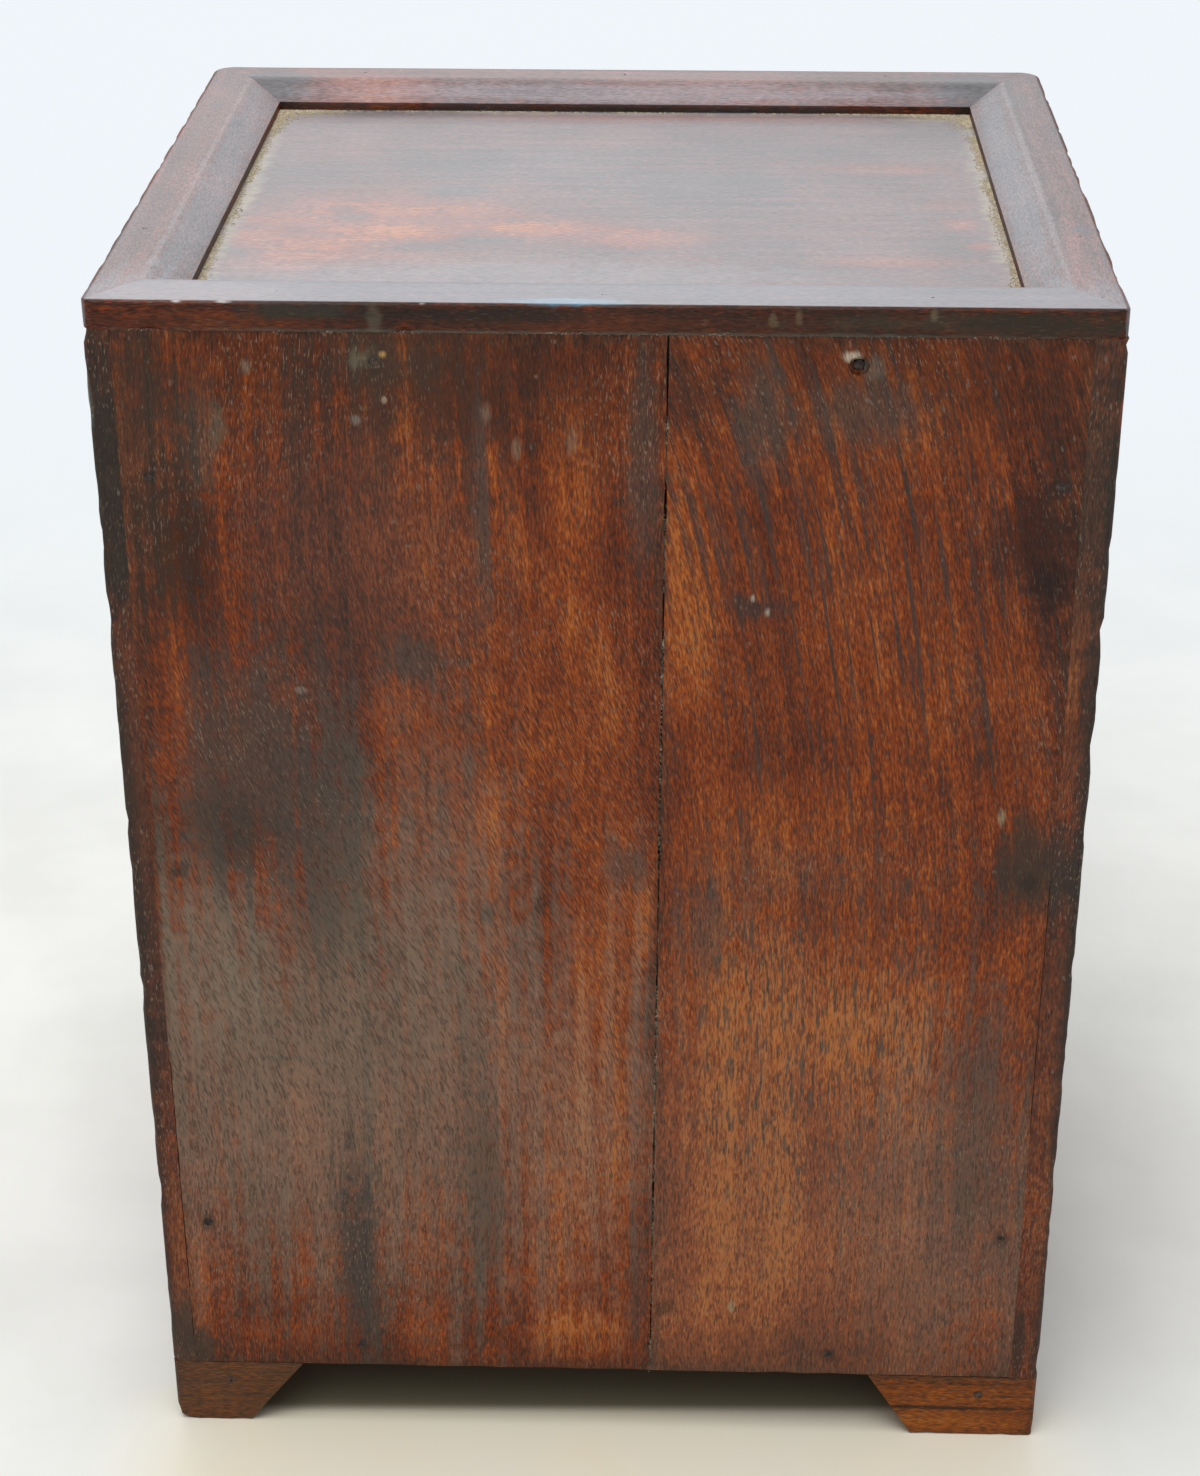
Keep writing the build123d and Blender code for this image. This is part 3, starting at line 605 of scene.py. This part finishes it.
# Stains on each rail, with painted light among them: the grey-violet haze spots are painted sheen and the pale ridge
# lines are painted highlights.
rail_stains_and_sheen = {
    "front": [
        # The pale grey band along the front rail is a painted sheen.
        ((0, -66, 277), (96, 4, None), (0.46, 0.41, 0.44), 0.4), ((0, -62.2, 274.2), (100, 1.6, 2.0), soot, 0.9),
        ((88, -70, 277), (8, 9, None), soot, 0.4), ((-84, -70, 277), (9, 9, None), soot, 0.4),
    ],
    "back": [
        ((0, 97.5, 277), (120, 1, 9), soot, 0.6), ((-75, 97.5, 277), (34, 1, 3), (0.115, 0.088, 0.052), 0.4),
        ((44.5, 97.5, 277), (1.6, 1, 4), (0.2, 0.17, 0.12), 0.3), ((16, 97.5, 278), (18, 2, 2), soot, 0.7),
        ((-80, 97.5, 277), (24, 2, 3), soot, 0.7), ((60, 97.5, 278.5), (14, 2, 2), grime, 0.8),
        ((7, 96, 280), (13, 3, 0.8), (0.1, 0.26, 0.36), 0.8),
        ((82, 91, 280), (24, 9, 0.8), (0.4, 0.27, 0.25), 0.35),
        ((83, 97.3, 280), (1.2, 0.7, 0.4), bare_chip, 0.7),
        ((74, 97.3, 280), (2.2, 0.9, 0.5), bare_chip, 0.9),
        ((35, 97.3, 280), (1.0, 0.7, 0.4), bare_chip, 0.8),
        ((-64, 97.5, 278.5), (1, 2, 1.6), tan_dust, 0.25), ((-38, 97.5, 278), (1, 2, 2), tan_dust, 0.2),
        ((-33, 97.5, 278), (1, 2, 2), tan_dust, 0.2), ((0, 97.5, 274), (100, 2, 0.8), (0.12, 0.1, 0.075), 0.6),
    ],
    "left": [
        # The pale haze on each side rail is a painted sheen, and the thin pale line along its ridge is a painted
        # highlight.
        ((-94, 96, 280), (14, 22, None), haze_and_sheen_colour, 0.25), ((-88, 6, 277), (4, 100, None), haze_and_sheen_colour, 0.2),
        ((-97.5, 47, 280), (3, 4, None), pin_stain, 0.5),
        ((-95, -55, 280), (5, 10, None), pin_stain, 0.35),
        ((-92, 5, 280), (0.8, 110, None), rubbed_ridge_highlight, 0.14),
    ],
    "right": [
        ((94, 96, 280), (14, 22, None), haze_and_sheen_colour, 0.25), ((88, 6, 277), (4, 100, None), haze_and_sheen_colour, 0.2),
        ((97, -44, 280), (2.4, 3, None), (0.03, 0.03, 0.03), 0.5),
        ((90, -33, 280), (2, 2.4, None), pin_stain, 0.5),
        ((92, 5, 280), (0.8, 110, None), rubbed_ridge_highlight, 0.14),
    ],
}


def mitres_meet(spot, move):
    """The underside stays tight, the mitres close, and the ridge and the corners are rounded off."""
    aside = half_width - abs(spot.x)
    behind = back_face - spot.y
    ahead = behind / back_rail_width if spot.y > 0 else (spot.y - front_face) / rail_width
    coarse, fine = Vector((spot.x, spot.y, 0)) / 9, Vector((spot.x, spot.y, 9)) / 3.6
    hollow = max(0, noise.noise(coarse) + 0.6 * noise.noise(fine))
    if aside < 0.6:
        move.x -= math.copysign(0.8 * hollow, spot.x)
    if behind < 0.6:
        move.y -= 0.4 * hollow
    move = move * min(1, 1.5 * abs(aside / rail_width - ahead))
    if spot.z < case_top + 0.6:
        move.z = 0
    over = ridge_half - abs(rail_width * min(aside / rail_width, ahead) - rail_flat)
    if spot.z > case_top + 2.5 and over > 0:
        move.z -= over * over / (8 * ridge_half)
    if aside < corner_radius and behind < corner_radius:
        out = Vector((corner_radius - aside, corner_radius - behind))
        if out.length > corner_radius:
            pull = out * (corner_radius / out.length) - out
            move = move + Vector((math.copysign(pull.x, pull.x * spot.x), pull.y, 0))
    return move


def rail_edges(spot):
    beside = abs(spot.x) > half_width - 0.1
    behind = spot.y > back_face - 0.1 or spot.y < front_face + 0.1
    return beside != behind


ridges = {"front": (1, -70.5, 1), "back": (1, 84.167, back_rail_width / rail_width), "left": (0, -92, 1),
          "right": (0, 92, 1)}
for number, (side, along) in enumerate((("front", "X"), ("back", "X"), ("left", "Y"), ("right", "Y"))):
    name = f"top_rail_{side}"
    axis, at, scale = ridges[side]
    finish = old_wood(
        f"rosewood_{name}", along, 71.3 + 5.7 * number, marks=rail_marks[side], spots=rail_stains_and_sheen[side],
        tone=0.38 if side == "front" else 0.28, haze_and_sheen=0.46 if side == "back" else 0.19, fluff=0.15, pits=0.2,
        shine=0.1, wax=0.5)
    ridge_lines = [(axis, at + scale * (ridge_half * share)) for share in (-1, -0.5, 0, 0.5, 1)]
    worn_board(name, finish, along, [(0.4, rail_edges)], 73.0 + number, step=2.5, wear=1.5, sag=0.04,
               moved=mitres_meet, lines=ridge_lines)

# Feet: slant-ended rosewood brackets on the front and back, with a return block behind each along the side.
# The pairs are of unlike length, cut from offcuts, and scuffed along the floor.
foot_tones = (
    (0.0, (0.03, 0.016, 0.007)), (0.35, (0.085, 0.028, 0.007)), (0.65, (0.25, 0.06, 0.007)),
    (1.0, (0.42, 0.14, 0.02)))
foot_edges = [(0.5, lambda spot: spot.z < case_foot - 0.5)]
scuff_radius = 4


def scuffed(spot, move):
    """The feet on one side are worn round at their outer corners by the floor."""
    aside = half_width - spot.x
    if aside < scuff_radius and spot.z < scuff_radius:
        out = Vector((scuff_radius - aside, spot.z - scuff_radius))
        if out.length > scuff_radius:
            pull = out * (scuff_radius / out.length) - out
            move = move + Vector((pull.x, 0, pull.y))
    return move


for number, side in enumerate(("left", "right")):
    for turn, end in enumerate(("front", "back")):
        name = f"foot_bracket_{end}_{side}"
        checks = on_back([(-80, 8, 30, 0.6, -0.4), (-80, 4, 30, 3, 0.1)] if side == "left" else [])
        dull = on_back([(85, 8, 40, 24, (0.085, 0.06, 0.036), 0.35)] if side == "right" else [])
        finish = old_wood(
            f"rosewood_{name}", "X", 91.7 + 6.1 * number + 2.3 * turn, tones=foot_tones, marks=checks, spots=dull,
            bounds=box_of(name), tone=0.56 if side == "left" else 0.38, dirt_reach=2.0, fluff=0.12)
        worn_board(name, finish, "X", foot_edges, 95.0 + 2 * number + turn, step=2.5, wear=1.0, moved=scuffed)
        name = f"foot_return_{end}_{side}"
        finish = old_wood(
            f"rosewood_{name}", "Y", 101.7 + 6.1 * number + 2.3 * turn, tones=foot_tones, bounds=box_of(name),
            flat="YZ", tone=0.44, dirt_reach=2.0)
        worn_board(name, finish, "Y", foot_edges, 105.0 + 2 * number + turn, step=2.5, wear=1.0, moved=scuffed)

# Nails and pins: square iron nails with hammered heads, driven a little below the wood.
# They have rusted nearly black, and their dented heads differ a little in size.
iron_finish, place, shader = new_finish("rusted_iron")
rust = place.cloud((1.1, 1.1, 1.1), 7.7, 4.0)
rust_tones = ((0.3, (0.01, 0.008, 0.007)), (0.52, (0.03, 0.02, 0.015)), (0.72, (0.105, 0.048, 0.022)))
join(rust.ramp(rust_tones), shader, "Base Color")
join(0.75 - rust.fade(0.55, 0.35) * 0.25, shader, "Roughness")
join(rust.fade(0.55, 0.4) * 0.6, shader, "Metallic")
join(rust.bump(0.6, 0.0002), shader, "Normal")


def new_tree(name, inputs, output):
    """A Geometry Nodes tree with these named inputs and one geometry output, and a wire from each input."""
    tree = bpy.data.node_groups.new(name, "GeometryNodeTree")
    for label, kind in inputs.items():
        tree.interface.new_socket(label, in_out="INPUT", socket_type="NodeSocket" + kind)
    tree.interface.new_socket(output, in_out="OUTPUT", socket_type="NodeSocketGeometry")
    given = tree.nodes.new("NodeGroupInput")
    return tree, [Wire(one) for one in given.outputs[:len(inputs)]]


def end_tree(tree, made):
    tree.links.new(made.socket, tree.nodes.new("NodeGroupOutput").inputs[0])


nail_tree, (spots, head_radius, head_thickness, shank_width, length, seed, finish) = new_tree("driven_nails", {
    "Spots": "Geometry", "Head radius": "Float", "Head thickness": "Float", "Shank width": "Float",
    "Length": "Float", "Seed": "Int", "Finish": "Material"}, "Nails")
head = spots.make("GeometryNodeMeshCone", {
    "Vertices": 10, "Side Segments": 2, "Radius Top": head_radius * 0.72, "Radius Bottom": head_radius,
    "Depth": head_thickness})
down = spots.make("ShaderNodeCombineXYZ", {"Z": head_thickness * -1.0})
head = spots.make("GeometryNodeTransform", {"Geometry": head, "Translation": down})
shank_length = length - head_thickness
shank = spots.make("GeometryNodeMeshCone", {
    "Vertices": 4, "Side Segments": 3, "Radius Top": shank_width * 0.7, "Radius Bottom": shank_width * 0.25,
    "Depth": shank_length})
down = spots.make("ShaderNodeCombineXYZ", {"Z": length * -1.0})
quarter = (0.0, 0.0, math.radians(45))
shank = spots.make("GeometryNodeTransform", {"Geometry": shank, "Translation": down, "Rotation": quarter})
nail = spots.make("GeometryNodeJoinGeometry", {"Geometry": [head, shank]})
aim = spots.make("GeometryNodeInputNamedAttribute", {"Name": "aim"}, data_type="FLOAT_VECTOR")
turn = spots.make("FunctionNodeAlignRotationToVector", {"Vector": aim}, axis="Z")
sizes = spots.make("FunctionNodeRandomValue", {2: 0.9, 3: 0.98, "Seed": seed}, out=1, data_type="FLOAT")
nails = spots.make("GeometryNodeInstanceOnPoints", {
    "Points": spots, "Instance": nail, "Rotation": turn, "Scale": sizes})
nails = spots.make("GeometryNodeRealizeInstances", {"Geometry": nails})
where = spots.make("GeometryNodeInputPosition", {})
dents = spots.make("ShaderNodeTexNoise", {"Vector": where, "Scale": 900.0, "Detail": 1.0}, out="Color")
dents = dents.stretched((0.0002, 0.0002, 0.0002), (-0.0001, -0.0001, -0.0001))
nails = spots.make("GeometryNodeSetPosition", {"Geometry": nails, "Offset": dents})
nails = spots.make("GeometryNodeSetMaterial", {"Geometry": nails, "Material": finish})
end_tree(nail_tree, nails)


def grown(tree, name, mesh, values):
    """The plain mesh that a Geometry Nodes tree makes from a starting mesh."""
    base = shown(name + "_base", mesh)
    modifier = base.modifiers.new("grow", "NODES")
    modifier.node_group = tree
    for item in tree.interface.items_tree:
        if item.in_out == "INPUT" and item.name in values:
            modifier[item.identifier] = values[item.name]
    graph = bpy.context.evaluated_depsgraph_get()
    made = bpy.data.meshes.new_from_object(base.evaluated_get(graph), depsgraph=graph)
    base.modifiers.remove(modifier)
    bpy.data.objects.remove(base)
    made.name = name
    return made


def driven(name, body, node, spots, sizes, seed):
    """Nails at each (place, way the head faces, depth below the face) in millimetres."""
    mesh = bpy.data.meshes.new(name + "_spots")
    mesh.from_pydata([(Vector(spot) - depth * Vector(aim)) / 1000 for spot, aim, depth in spots], [], [])
    aims = mesh.attributes.new("aim", "FLOAT_VECTOR", "POINT")
    aims.data.foreach_set("vector", [value for spot, aim, depth in spots for value in aim])
    head, thickness, width, length = sizes
    made = grown(nail_tree, name, mesh, {
        "Head radius": head / 1000, "Head thickness": thickness / 1000, "Shank width": width / 1000,
        "Length": length / 1000, "Seed": seed, "Finish": iron_finish})
    return place_piece(made, name, iron_finish, body, "iron", node)


nail_sizes = (1.5, 0.8, 1.6, 20.5)
pin_sizes = (0.75, 0.5, 1.0, 11.0)
flush = [(*nail, 0.08) for nail in back_spots] + [(*nail, 0.9) for nail in open_hole]
driven("back_nails_driven", "case", "back_nails", flush, nail_sizes, 3)
driven("side_nails_driven", "case", "side_nails", [(*nail, 0.08) for nail in side_spots], nail_sizes, 4)
driven("foot_nails_driven", "case", "foot_nails", [(*nail, 0.08) for nail in foot_spots], nail_sizes, 5)
driven("rail_pins_driven", "case", "rail_pins", [(*pin, 0.05) for pin in rail_spots], pin_sizes, 6)

# Dust: tan wood dust and fibres that have packed into the seams between the sunk top and its rails.
# It lies thickest along the side rails and in the front corners. Dirt fills the joint and the ledge at the back.
def loose_finish(name, grain, seed, detail, tones):
    """Dry, dull crumbs with grains of this size in millimetres."""
    material, place, shader = new_finish(name)
    lumps = place.cloud((grain, grain, grain), seed, detail)
    join(lumps.ramp(tones), shader, "Base Color")
    join(0.7 + lumps * 0.4, shader, "Roughness")
    return material


dust_finish = loose_finish("seam_dust", 0.8, 2.2, 3.0, (
    (0.25, (0.28, 0.22, 0.13)), (0.5, (0.52, 0.44, 0.3)), (0.8, (0.68, 0.61, 0.47))))
dirt_finish = loose_finish("seam_dirt", 2.5, 4.2, 4.0, (
    (0.35, (0.04, 0.034, 0.025)), (0.52, (0.15, 0.125, 0.085)), (0.68, (0.36, 0.3, 0.21))))

dust_tree, (seams, crumbs, crumb_size, fibres, fibre_length, seed, finish) = new_tree("packed_dust", {
    "Seams": "Geometry", "Crumbs": "Float", "Crumb size": "Float", "Fibres": "Float", "Fibre length": "Float",
    "Seed": "Int", "Finish": "Material"}, "Dust")
where = seams.make("GeometryNodeInputPosition", {})
drift = seams.make("ShaderNodeTexNoise", {"Vector": where, "Scale": 90.0, "Detail": 2.0}).fade(0.32, 0.62)
share = seams.make("GeometryNodeInputNamedAttribute", {"Name": "share"}, data_type="FLOAT")
loose = []
crumb = seams.make("GeometryNodeMeshIcoSphere", {"Radius": crumb_size, "Subdivisions": 1})
fibre = seams.make("GeometryNodeMeshCone", {
    "Vertices": 3, "Radius Top": crumb_size * 0.1, "Radius Bottom": crumb_size * 0.15, "Depth": fibre_length})
for shape, density, tilt in ((crumb, crumbs, 3.2), (fibre, fibres, 0.25)):
    spread = seams.make("GeometryNodeDistributePointsOnFaces", {
        "Mesh": seams, "Density": density * drift * share, "Seed": seed})
    turn = seams.make("FunctionNodeRandomValue", {
        0: (math.pi / 2 - tilt, -tilt, 0.0), 1: (math.pi / 2 + tilt, tilt, 6.28), "Seed": seed},
        data_type="FLOAT_VECTOR")
    turn = seams.make("FunctionNodeEulerToRotation", {"Euler": turn})
    size = seams.make("FunctionNodeRandomValue", {2: 0.4, 3: 1.5, "Seed": seed}, out=1, data_type="FLOAT")
    loose.append(seams.make("GeometryNodeInstanceOnPoints", {
        "Points": spread, "Instance": shape, "Rotation": turn, "Scale": size}))
dust = seams.make("GeometryNodeJoinGeometry", {"Geometry": loose})
dust = seams.make("GeometryNodeRealizeInstances", {"Geometry": dust})
dust = seams.make("GeometryNodeSetMaterial", {"Geometry": dust, "Material": finish})
end_tree(dust_tree, dust)


def seam_sheet(name, strips, share):
    """A sheet for each strip of four corners in millimetres, with the share of dust that lies at each point."""
    points, faces = [], []
    for strip in strips:
        a, b, c, d = [Vector(corner) for corner in strip]
        rows, columns = max(1, round((d - a).length / 2)), max(1, round((b - a).length / 0.7))
        first = len(points)
        for row in range(rows + 1):
            start, end = a.lerp(d, row / rows), b.lerp(c, row / rows)
            points += [start.lerp(end, column / columns) for column in range(columns + 1)]
        for row in range(rows):
            for column in range(columns):
                corner = first + row * (columns + 1) + column
                faces.append((corner, corner + 1, corner + columns + 2, corner + columns + 1))
    sheet = bpy.data.meshes.new(name)
    sheet.from_pydata([point / 1000 for point in points], [], faces)
    shares = sheet.attributes.new("share", "FLOAT", "POINT")
    shares.data.foreach_set("value", [share(point) for point in points])
    return sheet


def settled(spot):
    """Dust is thick against the rails and thins out from them. It has gathered in the two front corners."""
    beside, ahead = 84 - abs(spot.x), spot.y + 62.5
    corner = max(0, 1 - math.hypot(beside, ahead) / 24)
    wide = 2.6 + 1.4 * noise.noise(spot / 9)
    near = min(beside / (wide + 8 * corner), ahead / (1.3 + 8 * corner))
    return max(0, 1 - near) ** 2.4


def packed(spot):
    return 1.0


top_seams = [
    [(83.95, -62.4, 274), (75, -62.4, 274), (75, 73.4, 274), (83.95, 73.4, 274)],
    [(-75, -62.4, 274), (-83.95, -62.4, 274), (-83.95, 73.4, 274), (-75, 73.4, 274)],
    [(75, -62.4, 274), (75, -55, 274), (-75, -55, 274), (-75, -62.4, 274)]]
back_seam = [[(seam_at(z) + 0.3, 97.15, z), (seam_at(z) - 0.3, 97.15, z), (seam_at(z + 16) - 0.3, 97.15, z + 16),
              (seam_at(z + 16) + 0.3, 97.15, z + 16)] for z in range(17, 257, 16)]
ledge = [[(100, 97.2, 273.8), (100, 97.2, 274.25), (-100, 97.2, 274.25), (-100, 97.2, 273.8)]]
for name, strips, share, crumbs, fibres, seed, finish in (
        ("seam_dust", top_seams, settled, 2.6e7, 1.6e6, 8, dust_finish),
        ("seam_dirt", back_seam, packed, 1.6e7, 0.0, 10, dirt_finish),
        ("ledge_dirt", ledge, packed, 1.4e7, 0.0, 11, dirt_finish)):
    mesh = grown(dust_tree, name, seam_sheet(name + "_sheet", strips, share), {
        "Crumbs": crumbs, "Crumb size": 0.00015, "Fibres": fibres, "Fibre length": 0.0016, "Seed": seed,
        "Finish": finish})
    place_piece(mesh, name, finish, "case", "rosewood")

# Drawers: rosewood fronts lap-dovetailed to thin sides of plain pale wood, with a housed back.
# The bottom slides into grooves and is pinned up into the back. The insides are dry and dusty.
lining_tones = (
    (0.0, (0.075, 0.036, 0.017)), (0.4, (0.19, 0.098, 0.044)), (0.7, (0.29, 0.165, 0.08)),
    (1.0, (0.39, 0.24, 0.125)))
lining = {
    axis: old_wood(f"drawer_lining_{axis.lower()}", axis, 121.0 + 7 * number, tones=lining_tones, band=1.1,
                   strand=0.7, fluff=0.15, pits=0.3, shine=0.3, wax=0.0)
    for number, axis in enumerate("XY")}
brass_finish, place, shader = new_finish("tarnished_brass")
tarnish = place.cloud((4, 4, 4), 9.1, 5.0)
rubs = place.cloud((0.25, 3.5, 0.25), 12.4, 2.0)
film = (tarnish + (rubs - 0.5) * 0.35).fade(0.36, 0.72)
brass_tones = ((0.0, (0.5, 0.32, 0.11)), (0.5, (0.33, 0.19, 0.065)), (1.0, (0.13, 0.072, 0.028)))
join(film.ramp(brass_tones), shader, "Base Color")
join(1.0 - film * 0.45, shader, "Metallic")
join(0.26 + film * 0.34 + (rubs - 0.5) * 0.2, shader, "Roughness")
join((rubs + tarnish).bump(0.25, 0.0001), shader, "Normal")

knob_profile = [
    (0.0, -97.35), (2.0, -97.42), (4.2, -97.3), (6.0, -96.9), (7.3, -96.2), (8.1, -95.3), (8.4, -94.3), (8.4, -93.6),
    (8.0, -92.9), (7.2, -92.55), (5.6, -92.3), (4.4, -91.6), (3.7, -90.4), (3.4, -88.5), (3.5, -86.0), (3.9, -84.2),
    (4.6, -83.2), (5.4, -82.8), (6.3, -82.6), (6.8, -82.1), (6.95, -81.4), (6.9, -80.5), (2.0, -80.5), (2.0, -64.7),
    (1.6, -64.5), (0.0, -64.5),
]


def turned(profile, height, sides):
    """A mesh turned round a line along y at this height, from (radius, y) points."""
    mesh = bmesh.new()
    rings = []
    for radius, y in profile:
        steps = sides if radius else 1
        angles = [2 * math.pi * step / sides for step in range(steps)]
        rings.append([
            mesh.verts.new((radius * math.cos(angle) / 1000, y / 1000, (height + radius * math.sin(angle)) / 1000))
            for angle in angles])
    for first, second in zip(rings, rings[1:]):
        for step in range(sides):
            after = (step + 1) % sides
            corner = [first[step % len(first)], first[after % len(first)]]
            corner += [second[after % len(second)], second[step % len(second)]]
            mesh.faces.new(list(dict.fromkeys(corner)))
    bmesh.ops.recalc_face_normals(mesh, faces=mesh.faces)
    made = bpy.data.meshes.new("turned")
    mesh.to_mesh(made)
    mesh.free()
    return made


for number, name in enumerate(("lower", "middle", "upper")):
    body = f"drawer_{name}"
    front = f"drawer_{name}_front"
    low, top = [corner[2] for corner in box_of(front)]
    middle = (low + top) / 2
    marks = [((0, -80, middle), (20, None, 16), -0.16), ((-50 + 40 * number, -80, middle + 8), (28, None, 14), 0.14),
             ((60 - 25 * number, -80, middle - 14), (26, None, 12), -0.14)]
    hands = [((0, -80, middle), (13, None, 12), soot, 0.45)]
    finish = old_wood(
        f"rosewood_{front}", "X", 131.3 + 9.7 * number, marks=marks, spots=hands, bounds=box_of(front),
        tone=0.54, shine=0.35, wax=0.15)
    worn_board(front, finish, "X", [(0.3, lambda spot: spot.y < -79)], 137.0 + number, wear=0.5, body=body)
    for part, along in (("side_left", "Y"), ("side_right", "Y"), ("back", "X"), ("bottom", "X")):
        node = f"drawer_{name}_{part}"
        worn_board(node, lining[along], along, [(0.4, lambda spot: spot.z > top - 8)], 141.0 + number, step=7.0,
                   body=body, slot="drawer_lining")
    driven(f"drawer_{name}_pins_driven", body, f"drawer_{name}_pins",
           [(*pin, 0.04) for pin in tray_spots[tray_floors[number]]], pin_sizes, 7 + number)
    knob = turned(knob_profile, middle, 56)
    place_piece(knob, f"drawer_{name}_knob_turned", brass_finish, body, "brass", f"drawer_{name}_knob")
    nut = f"drawer_{name}_knob_nut"
    worn_board(nut, brass_finish, "X", [(0.3, lambda spot: True)], 151.0 + number, wear=0.2, body=body, slot="brass")

# Floor, light and camera: a pale floor under soft daylight, most of it from above.
# The camera stands behind the box and looks down on it, as the picture was taken.
floor_mesh = bpy.data.meshes.new("floor")
floor_mesh.from_pydata([(-4, -4, 0), (4, -4, 0), (4, 4, 0), (-4, 4, 0)], [], [(0, 1, 2, 3)])
floor = shown("floor", floor_mesh)
floor_finish, place, shader = new_finish("pale_floor")
smears = place.cloud((45, 45, 45), 1.3, 6.0)
x, y = place.parts()[:2]
out = place.stretched((1, 1, 0), (0, 0, 0)).length()
far = (y + (smears - 0.5) * 60).fade(-120.0, -620.0).most(out.fade(900.0, 2000.0))
colour = smears.ramp(((0.35, (0.8, 0.803, 0.765)), (0.65, (0.87, 0.873, 0.835))))
# The floor is painted darker in a patch under the box, its back edge slanted along the shadow line: a painted
# shadow.
wide, deep = x.size(), (y - x * 0.028 - 6.3).size()
painted_shadow = wide.fade(101.0, 97.0) * deep.fade(86.5, 82.5)
# A warmer, slightly darker strip as wide as the box is painted on the floor along its back: painted shade near the
# box.
warm_painted_shade = wide.fade(128.0, 84.0) * y.fade(80.0, 92.0) * y.fade(215.0, 125.0) * (smears * 1.2 + 0.2)
colour = colour.tinted((0.84, 0.765, 0.585), warm_painted_shade.least(1.0))
colour = colour.tinted((0.26, 0.235, 0.15), painted_shadow)
join(colour.tinted((0, 0, 0), far), shader, "Base Color")
glow = far.make("ShaderNodeMix", {0: far, 6: (0, 0, 0, 1), 7: (0.8, 0.845, 0.885, 1)}, out=2, data_type="RGBA")
join(glow, shader, "Emission Color")
shader.inputs["Emission Strength"].default_value = 1.0
shader.inputs["Roughness"].default_value = 0.8
floor_mesh.materials.append(floor_finish)
floor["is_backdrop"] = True

world = bpy.data.worlds.new("daylight")
bpy.context.scene.world = world
world.use_nodes = True
sky = world.node_tree.nodes["Background"]
sky.inputs["Color"].default_value = (0.93, 0.97, 1.0, 1)
rays = Wire(world.node_tree.nodes.new("ShaderNodeLightPath").outputs["Is Camera Ray"])
glossy, through = rays.make("ShaderNodeLightPath", {}, out=("Is Glossy Ray", "Is Transmission Ray"))
seen = (rays + glossy + through).least(1.0)
join(0.34 + seen * 0.62, sky, "Strength")


def soft_lamp(name, place, size, power, aim=(0, 0, 0.15)):
    light = bpy.data.lights.new(name, "AREA")
    light.shape = "DISK"
    light.size = size
    light.energy = power
    lamp = shown(name, light)
    lamp.location = place
    lamp.rotation_euler = (Vector(aim) - Vector(place)).to_track_quat("-Z", "Y").to_euler()


soft_lamp("ceiling", (0.2, 0.4, 2.2), 1.4, 28)
soft_lamp("window", (0.2, -1.5, 1.5), 1.8, 10)
soft_lamp("fill", (0.3, 1.2, 1.9), 1.4, 8)

camera = bpy.data.cameras.new("camera")
camera.lens = 69.82
camera.sensor_width = 36
viewer = shown("camera", camera)
viewer.location = (-0.016985, 0.626205, 0.462387)
viewer.rotation_euler = [math.radians(angle) for angle in (62.3797, 0.0771, -178.1325)]
bpy.context.scene.camera = viewer
bpy.context.scene.view_settings.view_transform = "Standard"

boxes = {"cad": cad_box, "visual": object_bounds()}
{name: [list(corner) for corner in box] for name, box in boxes.items()}
